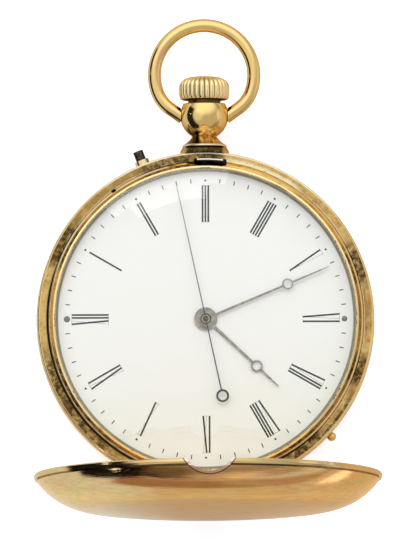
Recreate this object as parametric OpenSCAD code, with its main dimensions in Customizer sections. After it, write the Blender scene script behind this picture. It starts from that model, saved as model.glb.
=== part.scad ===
// Full hunter pocket watch, lying on its back with the dial up and the front lid open.
// +Y points to the pendant and bow, the lids hinge at -Y. Lengths are in millimetres.

/* [Case] */
// Radius over the lips of the two covers
case_r = 25; // [24:0.1:27]
// How far the band stands inside the lips
band_inset = 0.3; // [0.2:0.05:0.5]
// Wall of the band outside the spring channel
band_wall = 0.4; // [0.3:0.05:0.6]
// Height of the band between the two covers
band_h = 4.2; // [4:0.1:5]
// Thickness of the flange that the front lid shuts on
seat_t = 1.2; // [1:0.05:1.4]
// Thickness of the flange over the cuvette
foot_t = 1; // [0.7:0.05:1.2]
// Width of the case's flanges, from the lips in to the opening for the movement
flange_w = 3.35; // [3.2:0.01:3.35]
// Width of the ledge inside the neck that the main plate sits on
ledge_w = 0.7; // [0.65:0.01:0.85]
// Wall of that neck
neck_wall = 0.5; // [0.4:0.05:0.6]
// Height of that neck over the lid seat
neck_h = 0.5; // [0.4:0.05:0.7]
// Play between covers, seats and flat faces that meet
seat_gap = 0.03; // [0.02:0.005:0.06]

/* [Covers] */
// Depth of the front lid from its rim plane to the top of its dome
lid_depth = 5.9; // [5.6:0.1:7]
// Wall of the front lid
lid_wall = 0.5; // [0.35:0.05:0.6]
// Depth of the back cover
back_depth = 4.4; // [4.2:0.1:5.5]
// Wall of the back cover
back_wall = 0.45; // [0.35:0.05:0.55]
// Radius of the shallow curve across both covers
dome_r = 220; // [180:5:300]
// Width of the front lid's rounded edge, from its lip to that curve
lid_turn_w = 8; // [7:0.5:10]
// Width of the back cover's rounded edge
back_turn_w = 6.5; // [6:0.5:8]
// Radius of the flat that the watch rests on
rest_r = 9; // [6:0.5:11]
// Width of the rolled lip at the rim of each cover
lip_w = 0.7; // [0.5:0.05:0.9]
// Height of that lip
lip_h = 0.8; // [0.6:0.05:1]
// Radius of the thumb bead on the back cover
bead_r = 0.65; // [0.4:0.05:0.9]
// Direction of the thumb bead from the centre
bead_angle = -43; // [-60:1:-30]
// How far the front lid stands open
lid_open = 86; // [70:1:95]
// Thickness of the cuvette
cuvette_wall = 0.4; // [0.3:0.05:0.5]
// How far the cuvette's rim reaches past the opening that it covers
cuvette_lap = 1.25; // [0.9:0.05:1.3]
// Gap between the cuvette and the back cover
cuvette_gap = 0.4; // [0.3:0.05:0.5]
// Width of the catch on the front lid's lip
catch_w = 2.4; // [1.5:0.1:3]

/* [Hinges] */
// Radius of the hinge knuckles
knuckle_r = 0.75; // [0.6:0.05:0.9]
// Radius of the hinge pins
hinge_pin_r = 0.35; // [0.25:0.05:0.45]
// Length of the five knuckles together
hinge_w = 9; // [7:0.5:12]
// How far the hinge axis stands outside the lips
hinge_out = 0.2; // [0.1:0.05:0.4]
// Radius of the knuckles of the cuvette's own hinge
cuvette_knuckle_r = 0.38; // [0.35:0.01:0.42]
// Radius of its pin
cuvette_pin_r = 0.18; // [0.15:0.01:0.22]
// Length of its five knuckles together
cuvette_hinge_w = 4.5; // [3.5:0.5:6]
// Radial play of a pin in its hole
pin_play = 0.05; // [0.03:0.01:0.08]
// Gap between neighbouring knuckles, and round each one
knuckle_gap = 0.08; // [0.05:0.01:0.15]

/* [Bezel and crystal] */
// How far the bezel reaches in over the neck
bezel_lap = 0.35; // [0.25:0.05:0.55]
// Height of the crystal's edge over the lid seat
crystal_edge_h = 1.55; // [1.5:0.05:1.65]
// Thickness of the crystal
crystal_t = 0.4; // [0.35:0.05:0.5]
// Rise of the crystal from its edge to its centre
crystal_rise = 1.2; // [0.8:0.05:1.5]
// Wall of the bezel's skirt round the neck
bezel_wall = 0.35; // [0.3:0.05:0.45]

/* [Pendant, crown and bow] */
// Radius of the flange against the band
flange_r = 3.6; // [3.2:0.05:3.7]
// Radius of the narrow neck
pendant_neck_r = 1.8; // [1.75:0.05:2]
// Radius of the ball
ball_r = 3.55; // [3.4:0.05:3.6]
// How far the ball's centre stands outside the lips
ball_out = 5.2; // [5:0.1:5.6]
// Height of the pendant's end over the ball's centre
ball_top = 1.75; // [1.6:0.05:1.9]
// Radius of the crown
crown_r = 3.72; // [3.4:0.05:3.8]
// Height of the crown
crown_h = 3.5; // [3:0.05:4]
// Flutes round the crown
crown_flutes = 28; // [20:1:48]
// Depth of a flute
flute_d = 0.2; // [0.08:0.02:0.26]
// Radius of the crown's sleeve
sleeve_r = 2.4; // [2.2:0.05:2.5]
// Travel of the crown when it is pressed to open the lid
crown_travel = 0.45; // [0.3:0.05:0.5]
// Mean radius of the bow's ring
bow_r = 7.36; // [7:0.02:8.5]
// How far the middle of the bow's ring stands over the ball's centre
bow_out = 6; // [5.6:0.1:6.5]
// Thickness of the bow
bow_t = 1.95; // [1.4:0.05:2]
// Mean radius of the two bends that turn the bow in to the ball
bow_bend_r = 5; // [4:0.1:6]
// Slope at which the ends of the bow meet the ball
bow_slope = 35; // [25:1:40]
// Radius of the pin at each end of the bow
bow_pin_r = 0.5; // [0.4:0.05:0.6]
// Radius of the push piece for hand setting
push_r = 0.75; // [0.6:0.05:0.85]
// Direction of the push piece from the centre
push_angle = 111.6; // [108:0.2:114]
// Travel of the push piece
push_travel = 0.8; // [0.6:0.1:0.9]

/* [Dial and hands] */
// Play between the dial's rim and the neck
dial_play = 0.1; // [0.05:0.01:0.15]
// Thickness of the dial at its edge
dial_t = 0.45; // [0.4:0.05:0.5]
// Rise of the dial towards its centre
dial_rise = 0.2; // [0.1:0.05:0.25]
// Time shown, as minutes past twelve
time_min = 446.22; // [0:0.01:720]
// Seconds shown
time_s = 13; // [0:0.5:60]
// Room from the hour hand's tip to the bezel
hour_hand_gap = 7.4; // [6:0.1:9]
// Room from the minute hand's tip to the bezel
minute_hand_gap = 2.3; // [1.5:0.1:4]
// Room from the seconds hand's tip to the bezel
seconds_hand_gap = 1.4; // [1:0.1:3]
// Room from the ring on the seconds hand's tail to the bezel
seconds_tail_gap = 10.4; // [9:0.1:12]
// Thickness of the hour and minute hands
hand_t = 0.15; // [0.1:0.01:0.2]

/* [Train] */
// Radius of the main plate that the lengths of this section are drawn for
layout_r = 21.5; // [21.3:0.05:21.55]
// Module of the barrel and the centre pinion
barrel_m = 0.22; // [0.21:0.005:0.225]
// Module of the centre wheel and the third pinion
centre_m = 0.16; // [0.155:0.001:0.162]
// Module of the third wheel and the fourth pinion
third_m = 0.14; // [0.138:0.001:0.142]
// Module of the fourth wheel and the escape pinion
fourth_m = 0.13; // [0.128:0.001:0.132]
// Module of the cannon pinion and the minute wheel
cannon_m = 0.14; // [0.135:0.001:0.142]
// Module of the winding wheels
winding_m = 0.205; // [0.2:0.001:0.207]
// Thickness of the thin wheels
wheel_t = 0.22; // [0.18:0.01:0.22]
// Radius of the balance over its screws
balance_r = 7.6; // [7.2:0.05:7.6]
// Screws round the balance
balance_screws = 14; // [8:2:18]
// Distance from the pallet arbor to the balance
lever_l = 5.2; // [5:0.05:5.4]
// Radius of the escape wheel
escape_r = 3; // [2.9:0.02:3.04]
// Turns of the hairspring
hairspring_turns = 9; // [6:1:11]
// Turns of the mainspring
mainspring_turns = 9; // [6:1:10]

/* [Plates] */
// Play between the main plate and the case
plate_play = 0.15; // [0.1:0.01:0.35]
// Radius of the jewels in the plates
jewel_r = 0.45; // [0.4:0.05:0.5]
// Thickness of a jewel
jewel_t = 0.3; // [0.2:0.05:0.35]
// Radius of a pivot
pivot_r = 0.09; // [0.07:0.01:0.1]
// Radius of the head of a bridge screw
screw_r = 0.95; // [0.7:0.05:1.05]

/* [Hidden] */

gold = [0.80, 0.60, 0.30];
steel = [0.72, 0.73, 0.75];
blued = [0.10, 0.12, 0.18];
nickel = [0.78, 0.77, 0.72];
ruby = [0.70, 0.08, 0.20];
cut = 0.01;

// Heights. Every height of the movement is counted from the lid seat.
seat_z = back_depth + band_h;
stem_z = seat_z - 2.1;
ledge_z = -0.9;
plate_top = -0.2;
plate_bottom = -1.8;
dial_top = plate_top + dial_t;
hour_hand_z = 0.65;
minute_hand_z = hour_hand_z + hand_t + 0.2;
seconds_hand_z = minute_hand_z + hand_t + 0.15;
seconds_hand_t = 0.1;

// Case radii, from the lips inwards
band_r = case_r - band_inset;
chan_r = band_r - band_wall;
frame_open_r = case_r - flange_w;
neck_r = frame_open_r + ledge_w;
neck_ro = neck_r + neck_wall;
bezel_r = neck_ro + bezel_wall;
dial_open_r = neck_r - bezel_lap;
dial_r = neck_r - dial_play;
plate_r = frame_open_r - plate_play;
cuvette_r = frame_open_r + cuvette_lap;
lid_turn_r = case_r - lid_turn_w;
back_turn_r = case_r - back_turn_w;
ball_y = case_r + ball_out;
pendant_end_y = ball_y + ball_top;
hour_hand_l = dial_open_r - hour_hand_gap;
minute_hand_l = dial_open_r - minute_hand_gap;
seconds_hand_l = dial_open_r - seconds_hand_gap;
lip_in = case_r - lip_w;
hinge_y = -(case_r + hinge_out);
notch_r = flange_r + 0.27;

// Teeth: share of the pitch that a tooth takes at its root, pitch circle and tip
wheel_tooth = [0.50, 0.42, 0.14];
leaf_tooth = [0.42, 0.40, 0.12];
dedendum = 1.3;
n_barrel = 80; n_centre_pinion = 10;
n_centre = 80; n_third_pinion = 10;
n_third = 75; n_fourth_pinion = 10;
n_fourth = 80; n_escape_pinion = 8;
n_escape = 15;
n_sweep = 75; n_seconds_pinion = 10;
n_cannon = 12; n_minute = 36;
n_minute_pinion = 10; n_hour = 40;
n_winding = 16; n_crown = 48; n_ratchet = 58;

// Lengths of the train's layout follow the plate that they have to fit
function fit(length) = length * plate_r / layout_r;
m_barrel = fit(barrel_m);
m_centre = fit(centre_m);
m_third = fit(third_m);
m_fourth = fit(fourth_m);
m_cannon = fit(cannon_m);
m_winding = fit(winding_m);
r_balance = fit(balance_r);
r_escape = fit(escape_r);

function reach(a, b, m) = (a + b) / 2 * m;
function at(origin, r, a) = [origin[0] + r * cos(a), origin[1] + r * sin(a)];
function dir_of(p, q) = atan2(q[1] - p[1], q[0] - p[0]);
function meshed(theta, na, rot_a, nb) = theta + 180 - ((rot_a - theta) * na / 360 + 0.5) * 360 / nb;

// Centres of the train, seen from the dial
centre_at = [0, 0];
barrel_dir = 150;
barrel_at = at(centre_at, reach(n_barrel, n_centre_pinion, m_barrel), barrel_dir);
third_dir = 10;
third_at = at(centre_at, reach(n_centre, n_third_pinion, m_centre), third_dir);
fourth_dir = -105.55;
fourth_at = at(third_at, reach(n_third, n_fourth_pinion, m_third), fourth_dir);
escape_dir = -141.4;
escape_at = at(fourth_at, reach(n_fourth, n_escape_pinion, m_fourth), escape_dir);
pallet_dir = 191;
pallet_at = at(escape_at, r_escape / cos(30), pallet_dir);
balance_at = at(pallet_at, fit(lever_l), pallet_dir);
minute_dir = -30;
minute_at = at(centre_at, reach(n_cannon, n_minute, m_cannon), minute_dir);
sweep_m = norm(third_at) * 2 / (n_sweep + n_seconds_pinion);
hour_m = norm(minute_at) * 2 / (n_minute_pinion + n_hour);
winding_r = n_winding / 2 * m_winding;
crown_wheel_r = n_crown / 2 * m_winding;
ratchet_reach = reach(n_crown, n_ratchet, m_winding);
crown_wheel_at = [0, barrel_at[1] + sqrt(pow(ratchet_reach, 2) - pow(barrel_at[0], 2))];
pinion_y = crown_wheel_at[1] + crown_wheel_r - 0.25;
pinion_l = 1.6;
clutch_l = 2.4;
cock_foot_at = [fit(1.0), -fit(16.9)];
seconds_foot_at = at(centre_at, fit(15.7), third_dir);
pallet_foot_at = [fit(0.7), -fit(13.0)];
click_at = at(barrel_at, fit(8.2), 112);
sweep_tip_r = n_sweep / 2 * sweep_m + sweep_m;

// Shared shapes
module at_seat(z) { translate([0, 0, seat_z + z]) children(); }
module on(p, z = 0) { translate([p[0], p[1], seat_z + z]) children(); }
module along_stem(y) { translate([0, y, stem_z]) rotate([-90, 0, 0]) children(); }
module cyl(r, h) { cylinder(r = r, h = h, $fn = 96); }
module prism(r, h, sides = 16) {
    linear_extrude(h) polygon([for (i = [0:sides - 1]) r * [cos(i * 360 / sides), sin(i * 360 / sides)]]);
}
module tube(ro, ri, h) {
    difference() {
        cyl(ro, h);
        translate([0, 0, -cut]) cyl(ri, h + 2 * cut);
    }
}
module lathe(points) { rotate_extrude($fn = 180) polygon(points); }

// Outline of a toothed wheel, one tooth centred on the direction rot
function teeth(n, m, shape, rot) = let (pitch = 360 / n, r = n * m / 2) [
    for (i = [0:n - 1]) each [
        for (k = [0:5]) let (
            row = k < 3 ? k : 5 - k,
            side = k < 3 ? -0.5 : 0.5,
            rr = r + (row == 0 ? -dedendum * m : row == 1 ? 0 : m),
            a = rot + (i + side * shape[row]) * pitch)
        rr * [cos(a), sin(a)]]];

module toothed(n, m, h, rot, shape = wheel_tooth) { linear_extrude(h) polygon(teeth(n, m, shape, rot)); }

// Opening between two arms of a wheel, as a ring sector with flat sides
function sector(ri, ro, half, mid, steps = 6) = concat(
    [for (i = [0:steps]) ro * [cos(mid + half * (2 * i / steps - 1)), sin(mid + half * (2 * i / steps - 1))]],
    [for (i = [steps:-1:0]) ri * [cos(mid + (half - 4) * (2 * i / steps - 1)),
        sin(mid + (half - 4) * (2 * i / steps - 1))]]);

module spoked(n, m, h, rot, hub_r, rim_w, arms, bore_r) {
    difference() {
        toothed(n, m, h, rot);
        for (i = [0:arms - 1])
            translate([0, 0, -cut]) linear_extrude(h + 2 * cut)
                polygon(sector(hub_r, n * m / 2 - dedendum * m - rim_w, 180 / arms - 6,
                    (i + 0.5) * 360 / arms));
        translate([0, 0, -cut]) prism(bore_r, h + 2 * cut);
    }
}

// Arbor with a thin pivot at each end
module arbor(r, z0, z1, pivot0, pivot1) {
    translate([0, 0, z0]) prism(r, z1 - z0);
    translate([0, 0, pivot0]) prism(pivot_r, pivot1 - pivot0);
}

// Flat spiral strip from r0 to r1
module spiral(r0, r1, turns, strip, h) {
    steps = 24 * turns;
    function sp(i, off) = let (r = r0 + (r1 - r0) * i / steps + off, a = i * 15) r * [cos(a), sin(a)];
    linear_extrude(h) polygon(concat([for (i = [0:steps]) sp(i, 0)], [for (i = [steps:-1:0]) sp(i, strip)]));
}

// Outline of a cover: shallow dome, rounded corner and lip. Points are [radius, depth under the rim plane].
function corner_r(p0, n, e) = let (d = e - p0) -(d * d) / (2 * (n * d));
function cover_outer(depth, turn_r, end) = let (
    zc = dome_r - depth,
    tangent = asin(turn_r / dome_r),
    p0 = [turn_r, dome_r * cos(tangent) - zc],
    n = [sin(tangent), cos(tangent)],
    rc = corner_r(p0, n, end),
    c = p0 - rc * n,
    a0 = 90 - tangent,
    a1 = atan2(end[1] - c[1], end[0] - c[0]))
    concat([for (i = [0:10]) let (r = turn_r * i / 10) [r, sqrt(dome_r * dome_r - r * r) - zc]],
        [for (i = [1:28]) let (a = a0 + (a1 - a0) * i / 28) c + rc * [cos(a), sin(a)]]);
function inset_curve(points, wall) = [
    for (i = [0:len(points) - 1]) let (
        p = points[max(i - 1, 0)],
        q = points[min(i + 1, len(points) - 1)],
        t = (q - p) / norm(q - p))
    i == 0 ? points[0] - [0, wall] : points[i] - wall * [-t[1], t[0]]];
function reversed(points) = [for (i = [len(points) - 1:-1:0]) points[i]];
function cover_profile(depth, turn_r, wall) = let (
    end = [case_r - 0.42, lip_h + 0.2],
    outer = cover_outer(depth, turn_r, end))
    concat(outer, [[case_r - 0.6, lip_h + 0.14], [case_r - 0.6, lip_h], [case_r - 0.12, lip_h],
        [case_r, lip_h * 0.6], [case_r, lip_h * 0.2], [case_r - 0.12, 0],
        [lip_in, 0], [lip_in, lip_h * 0.5]], reversed(inset_curve(outer, wall)));

// A run of hinge knuckles, even ones on one leaf and odd ones on the other
module knuckles(r, width, odd, grow = 0) {
    w = width / 5;
    for (i = [odd ? 1 : 0:2:4])
        translate([-width / 2 + i * w + (knuckle_gap / 2 - grow), 0, 0])
            rotate([0, 90, 0]) cyl(r + grow, w - knuckle_gap + 2 * grow);
}
module hinge_bore(r, width) { translate([-width / 2 - 1, 0, 0]) rotate([0, 90, 0]) cyl(r, width + 2); }

// Case
module lid_hinge_line() { translate([0, hinge_y, seat_z]) children(); }
module back_hinge_line() { translate([0, hinge_y, back_depth]) children(); }
cuvette_hinge_y = -(cuvette_r + cuvette_knuckle_r + 0.12);
cuvette_hinge_z = back_depth - cuvette_knuckle_r - 0.09;
module cuvette_hinge_line() { translate([0, cuvette_hinge_y, cuvette_hinge_z]) children(); }
module push_line(r) { rotate(push_angle) translate([r, 0, stem_z]) rotate([0, 90, 0]) children(); }

chan_h = band_h - foot_t - seat_t;
lock_pin_r = 0.25;
lock_pin_at = at(centre_at, chan_r - 1.2, 31);
slot_x0 = -1.55;
slot_x1 = 3.2;
slot_r0 = neck_ro + 0.05;
slot_r1 = slot_r0 + 0.9;
bolt_r0 = slot_r1 - 0.5;
bolt_r1 = slot_r1 - 0.12;

module case_middle() {
    color(gold) {
        difference() {
            union() {
                lathe([[neck_r, seat_z + neck_h], [neck_ro, seat_z + neck_h], [neck_ro, seat_z],
                    [neck_ro + 0.35, seat_z], [neck_ro + 0.45, seat_z - 0.25], [neck_ro + 0.55, seat_z],
                    [band_r - 0.12, seat_z], [band_r, seat_z - 0.12],
                    [band_r, back_depth + seat_gap + 0.1], [band_r - 0.1, back_depth + seat_gap],
                    [frame_open_r, back_depth + seat_gap], [frame_open_r, back_depth + foot_t],
                    [chan_r, back_depth + foot_t], [chan_r, seat_z - seat_t],
                    [frame_open_r, seat_z - seat_t], [frame_open_r, seat_z + ledge_z],
                    [neck_r, seat_z + ledge_z]]);
                lid_hinge_line() {
                    knuckles(knuckle_r, hinge_w, false);
                    translate([-hinge_w / 2, 0, -knuckle_r])
                        cube([hinge_w, -hinge_y - band_r + 0.2, knuckle_r - 0.05]);
                }
                back_hinge_line() {
                    knuckles(knuckle_r, hinge_w, false);
                    translate([-hinge_w / 2, 0, seat_gap + 0.03])
                        cube([hinge_w, -hinge_y - band_r + 0.2, knuckle_r - 0.06]);
                }
                cuvette_hinge_line() {
                    knuckles(cuvette_knuckle_r, cuvette_hinge_w, false);
                    translate([-cuvette_hinge_w / 2, -0.25, 0])
                        cube([cuvette_hinge_w, 0.5, cuvette_knuckle_r + 0.2]);
                }
                on(lock_pin_at, -seat_t - chan_h - cut) cyl(lock_pin_r, chan_h + 2 * cut);
                push_line(band_r - 0.2) tube(push_r + 0.32, push_r + 0.05, 0.9);
            }
            cuvette_hinge_line() {
                knuckles(cuvette_knuckle_r, cuvette_hinge_w, true, knuckle_gap);
                hinge_bore(cuvette_pin_r, cuvette_hinge_w);
            }
            lid_hinge_line() {
                knuckles(knuckle_r, hinge_w, true, knuckle_gap);
                hinge_bore(hinge_pin_r, hinge_w);
            }
            back_hinge_line() {
                knuckles(knuckle_r, hinge_w, true, knuckle_gap);
                hinge_bore(hinge_pin_r, hinge_w);
            }
            along_stem(frame_open_r - 1) cyl(pendant_neck_r, 5);
            push_line(frame_open_r) cyl(push_r + 0.05, 5);
            translate([slot_x0, 0, seat_z - seat_t - cut]) intersection() {
                cube([slot_x1 - slot_x0, case_r, seat_t + 2 * cut]);
                translate([-slot_x0, 0, 0]) tube(slot_r1, slot_r0, seat_t + 2 * cut);
            }
        }
    }
}

// Pendant: saddle flange, narrow neck, round ball, and a stub through the band
module pendant() {
    cove_0 = [flange_r - 0.55, case_r + 0.88];
    cove_1 = [pendant_neck_r + 0.49, case_r + 1.31];
    cove_2 = [pendant_neck_r, case_r + 2.04];
    color(gold) difference() {
        union() {
            along_stem(0) rotate_extrude($fn = 96) polygon(concat(
                [[0, chan_r - 0.3], [pendant_neck_r, chan_r - 0.3], [pendant_neck_r, band_r - 0.6],
                 [flange_r, band_r - 0.6], [flange_r, case_r - 0.1],
                 [flange_r - 0.3, case_r + 0.3], [flange_r - 0.36, case_r + 0.72]],
                [for (t = [0:0.125:1])
                    (1 - t) * (1 - t) * cove_0 + 2 * t * (1 - t) * cove_1 + t * t * cove_2],
                [[pendant_neck_r + 0.15, ball_y - ball_r * 0.82], [0, ball_y - ball_r * 0.82]]));
            intersection() {
                translate([0, ball_y, stem_z]) rotate(45) sphere(ball_r, $fn = 96);
                along_stem(0) cyl(2 * ball_r, pendant_end_y);
            }
        }
        difference() {
            translate([0, 0, -1]) cyl(band_r, 2 * seat_z);
            along_stem(chan_r - 0.4) cyl(pendant_neck_r, 5);
        }
        along_stem(chan_r - 1) cyl(stem_r + 0.1, 12);
        along_stem(pendant_end_y - 1.3) cyl(sleeve_r + 0.08, 3);
        for (s = [-1, 1]) translate([s * (ball_r - 1.1), ball_y, stem_z])
            rotate([0, 90 * s, 0]) cyl(bow_pin_r + pin_play, 3);
    }
}

module hinge_pin(r, w) { translate([-w / 2, 0, 0]) rotate([0, 90, 0]) cyl(r, w); }
module front_hinge_pin() { color(gold) lid_hinge_line() hinge_pin(hinge_pin_r, hinge_w); }
module back_hinge_pin() { color(gold) back_hinge_line() hinge_pin(hinge_pin_r, hinge_w); }
module cuvette_hinge_pin() { color(gold) cuvette_hinge_line() hinge_pin(cuvette_pin_r, cuvette_hinge_w); }

// Front lid, drawn shut and then turned open about its hinge
module lid_shut() {
    difference() {
        union() {
            translate([0, 0, seat_z + seat_gap])
                lathe(cover_profile(lid_depth - seat_gap, lid_turn_r, lid_wall));
            intersection() {
                translate([-catch_w / 2, 0, seat_z + 0.35]) cube([catch_w, case_r, 0.6]);
                translate([0, 0, seat_z]) tube(lip_in + 0.15, bolt_r1 + 0.1, 2);
            }
            lid_hinge_line() difference() {
                union() {
                    knuckles(knuckle_r, hinge_w, true);
                    intersection() {
                        translate([-hinge_w * 0.3, 0, seat_gap])
                            cube([hinge_w * 0.6, hinge_out + 0.4, lip_h * 0.8]);
                        knuckles(case_r, hinge_w, true);
                    }
                }
                knuckles(knuckle_r, hinge_w, false, knuckle_gap);
            }
        }
        lid_hinge_line() {
            knuckles(knuckle_r, hinge_w, false, knuckle_gap);
            hinge_bore(hinge_pin_r + pin_play, hinge_w);
        }
        along_stem(lip_in - 1) cyl(notch_r, 5);
    }
}
module front_lid() {
    color(gold) lid_hinge_line() rotate([lid_open, 0, 0]) translate([0, -hinge_y, -seat_z]) lid_shut();
}

// Back cover with its rest flat and thumb bead
module back_cover() {
    color(gold) difference() {
        union() {
            translate([0, 0, back_depth]) mirror([0, 0, 1])
                lathe(cover_profile(back_depth + rest_sag, back_turn_r, back_wall));
            rotate(bead_angle) translate([case_r + bead_r - 0.3, 0, back_depth - lip_h / 2])
                sphere(bead_r, $fn = 48);
            back_hinge_line() difference() {
                union() {
                    knuckles(knuckle_r, hinge_w, true);
                    intersection() {
                        translate([-hinge_w * 0.3, 0, -lip_h * 0.8])
                            cube([hinge_w * 0.6, hinge_out + 0.4, lip_h * 0.8]);
                        knuckles(case_r, hinge_w, true);
                    }
                }
                knuckles(knuckle_r, hinge_w, false, knuckle_gap);
            }
        }
        translate([-case_r, -case_r, -5]) cube([2 * case_r, 2 * case_r, 5]);
        back_hinge_line() {
            knuckles(knuckle_r, hinge_w, false, knuckle_gap);
            hinge_bore(hinge_pin_r + pin_play, hinge_w);
        }
        along_stem(lip_in - 1) cyl(notch_r, 5);
    }
}
rest_sag = dome_r - sqrt(dome_r * dome_r - rest_r * rest_r);

// Cuvette: inner back cover that seats on the case flange
cuvette_z = back_wall + cuvette_gap;
module cuvette() {
    outer = [for (i = [0:8]) let (r = back_turn_r * i / 8)
        [r, cuvette_z + dome_r - sqrt(dome_r * dome_r - r * r)]];
    inner = [for (p = outer) p + [0, cuvette_wall]];
    color(gold) difference() {
        union() {
            lathe(concat(outer, [[cuvette_r - 2.4, outer[8][1] + 0.55], [cuvette_r - 1.2, outer[8][1] + 1.3],
                [cuvette_r - 0.6, back_depth - 0.8], [cuvette_r, back_depth - 0.7],
                [cuvette_r, back_depth - seat_gap], [cuvette_r - 1.15, back_depth - seat_gap],
                [cuvette_r - 1.25, back_depth - 0.8], [cuvette_r - 1.6, outer[8][1] + 1.4],
                [cuvette_r - 2.6, outer[8][1] + 0.9]], reversed(inner)));
            cuvette_hinge_line() difference() {
                union() {
                    knuckles(cuvette_knuckle_r, cuvette_hinge_w, true);
                    intersection() {
                        translate([-cuvette_hinge_w * 0.3, 0, -0.2])
                            cube([cuvette_hinge_w * 0.6, cuvette_knuckle_r + 0.3, 0.4]);
                        knuckles(2 * cuvette_knuckle_r, cuvette_hinge_w, true);
                    }
                }
                knuckles(cuvette_knuckle_r, cuvette_hinge_w, false, knuckle_gap);
            }
        }
        cuvette_hinge_line() {
            knuckles(cuvette_knuckle_r, cuvette_hinge_w, false, knuckle_gap);
            hinge_bore(cuvette_pin_r + pin_play, cuvette_hinge_w);
        }
        along_stem(cuvette_r - 2) cyl(notch_r, 5);
    }
}

module bezel() {
    e = seat_z + crystal_edge_h;
    color(gold) difference() {
        bezel_ring(e);
        translate([slot_x0, 0, seat_z]) intersection() {
            cube([slot_x1 - slot_x0, case_r, 1.2]);
            translate([-slot_x0, 0, 0]) tube(case_r, neck_ro + 0.06, 3);
        }
    }
}
module bezel_ring(e) {
    lathe([[dial_open_r, seat_z + neck_h + 0.1], [dial_open_r, e], [dial_open_r + 0.15, e],
        [dial_open_r + 0.15, e + crystal_t], [dial_open_r + 0.3, e + crystal_t + 0.25],
        [dial_open_r + 0.5, e + crystal_t + 0.2], [dial_open_r + 0.62, e + crystal_t - 0.15],
        [neck_ro + 0.1, seat_z + neck_h + 0.35], [bezel_r, seat_z + neck_h + 0.05], [bezel_r, seat_z + 0.1],
        [neck_ro + 0.02, seat_z + 0.1], [neck_ro + 0.02, seat_z + neck_h + 0.02],
        [neck_r - 0.02, seat_z + neck_h + 0.02], [neck_r - 0.02, seat_z + neck_h + 0.1]]);
}

module crystal() {
    e = seat_z + crystal_edge_h;
    r = dial_open_r + 0.13;
    big = (r * r + crystal_rise * crystal_rise) / (2 * crystal_rise);
    function arc(rise, off) = [for (i = [0:10]) let (x = r * i / 10)
        [x, e + off + sqrt(big * big - x * x) - (big - rise)]];
    color([0.85, 0.9, 0.92, 0.3]) lathe(concat(arc(crystal_rise, 0), reversed(arc(crystal_rise, crystal_t))));
}

module dial() {
    big = (dial_r * dial_r + dial_rise * dial_rise) / (2 * dial_rise);
    color([0.95, 0.95, 0.9]) at_seat(0) difference() {
        lathe(concat([[0, plate_top], [dial_r, plate_top], [dial_r, dial_top - 0.1]],
            [for (i = [10:-1:0]) let (x = (dial_r - 0.1) * i / 10)
                [x, dial_top + sqrt(big * big - x * x) - (big - dial_rise)]]));
        translate([0, 0, -1]) cyl(hour_pipe_r + 0.15, 3);
    }
}

// Movement
hour_pipe_r = 1.2;
cannon_r = 0.82;
centre_arbor_r = 0.6;
stem_r = 0.75;
stem_core_r = 0.45;
drum_step = 0.314;
drum_r = (n_barrel / 2 - dedendum) * m_barrel - drum_step;
barrel_web = -0.72;
drum_z0 = -2.45;
drum_z1 = -0.8;
bridge_out = -4.25;
bridge_in = -2.5;
train_in = -3.5;
winding_floor = -3.53;
cock_out = -5.7;
cock_in = -4.9;
seconds_cock_out = -5.5;
pallet_cock_out = -3.4;
pallet_cock_in = -2.95;

module stem_cut() {
    along_stem(crown_wheel_at[1]) cyl(stem_r + 0.1, case_r);
    translate([-winding_r - 0.45, pinion_y - clutch_l - 0.9, stem_z - winding_r - 0.4])
        cube([2 * winding_r + 0.9, clutch_l + pinion_l + 1.4, 5]);
}

module screw_hole(p, z0, h) { on(p, z0) cyl(screw_r * 0.55, h); }

module main_plate() {
    color(nickel) difference() {
        union() {
            at_seat(plate_bottom) cyl(plate_r, plate_top - plate_bottom);
            at_seat(ledge_z) cyl(neck_r - 0.15, plate_top - ledge_z);
            on(lever_pivot, plate_bottom - 0.65) cyl(lever_stud_r, 0.7);
        }
        on(barrel_at, plate_bottom - cut) cyl(drum_r + 0.3, barrel_web - plate_bottom + cut);
        at_seat(-0.6) cyl(n_hour / 2 * hour_m + 0.35, 1);
        at_seat(-1.1) cyl(cannon_r + 0.35, 1);
        on(minute_at, -1.1) cyl(n_minute / 2 * m_cannon + 0.3, 1.5);
        at_seat(plate_bottom - 1) cyl(centre_arbor_r + 0.06, 3);
        for (p = plate_jewels) on(p, plate_bottom - 1) cyl(jewel_r, 1 + jewel_t);
        for (p = plate_jewels) on(p, plate_bottom) cyl(pivot_r + 0.06, 0.6);
        on(barrel_at, plate_bottom - 1) cyl(barrel_pivot_r + 0.06, 3);
        stem_cut();
        push_line(plate_r - 1.5) cyl(0.55, 3);
        for (p = case_screw_spots) on(p, plate_bottom - cut) {
            cyl(0.5, 1.4);
            cyl(case_screw_r + 0.1, case_screw_z - plate_bottom + 0.4 + cut);
        }
    }
}
plate_jewels = [third_at, fourth_at, escape_at, pallet_at, balance_at];
barrel_pivot_r = 0.7;
case_screw_r = 1.2;
case_screw_z = ledge_z - 0.3 - 0.05 - 0.4;
case_screw_spots = [at(centre_at, plate_r - 0.8, 216), at(centre_at, plate_r - 0.8, -78)];

// Directions between which the barrel bridge lies
bridge_a0 = 22;
bridge_a1 = 206;

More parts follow.
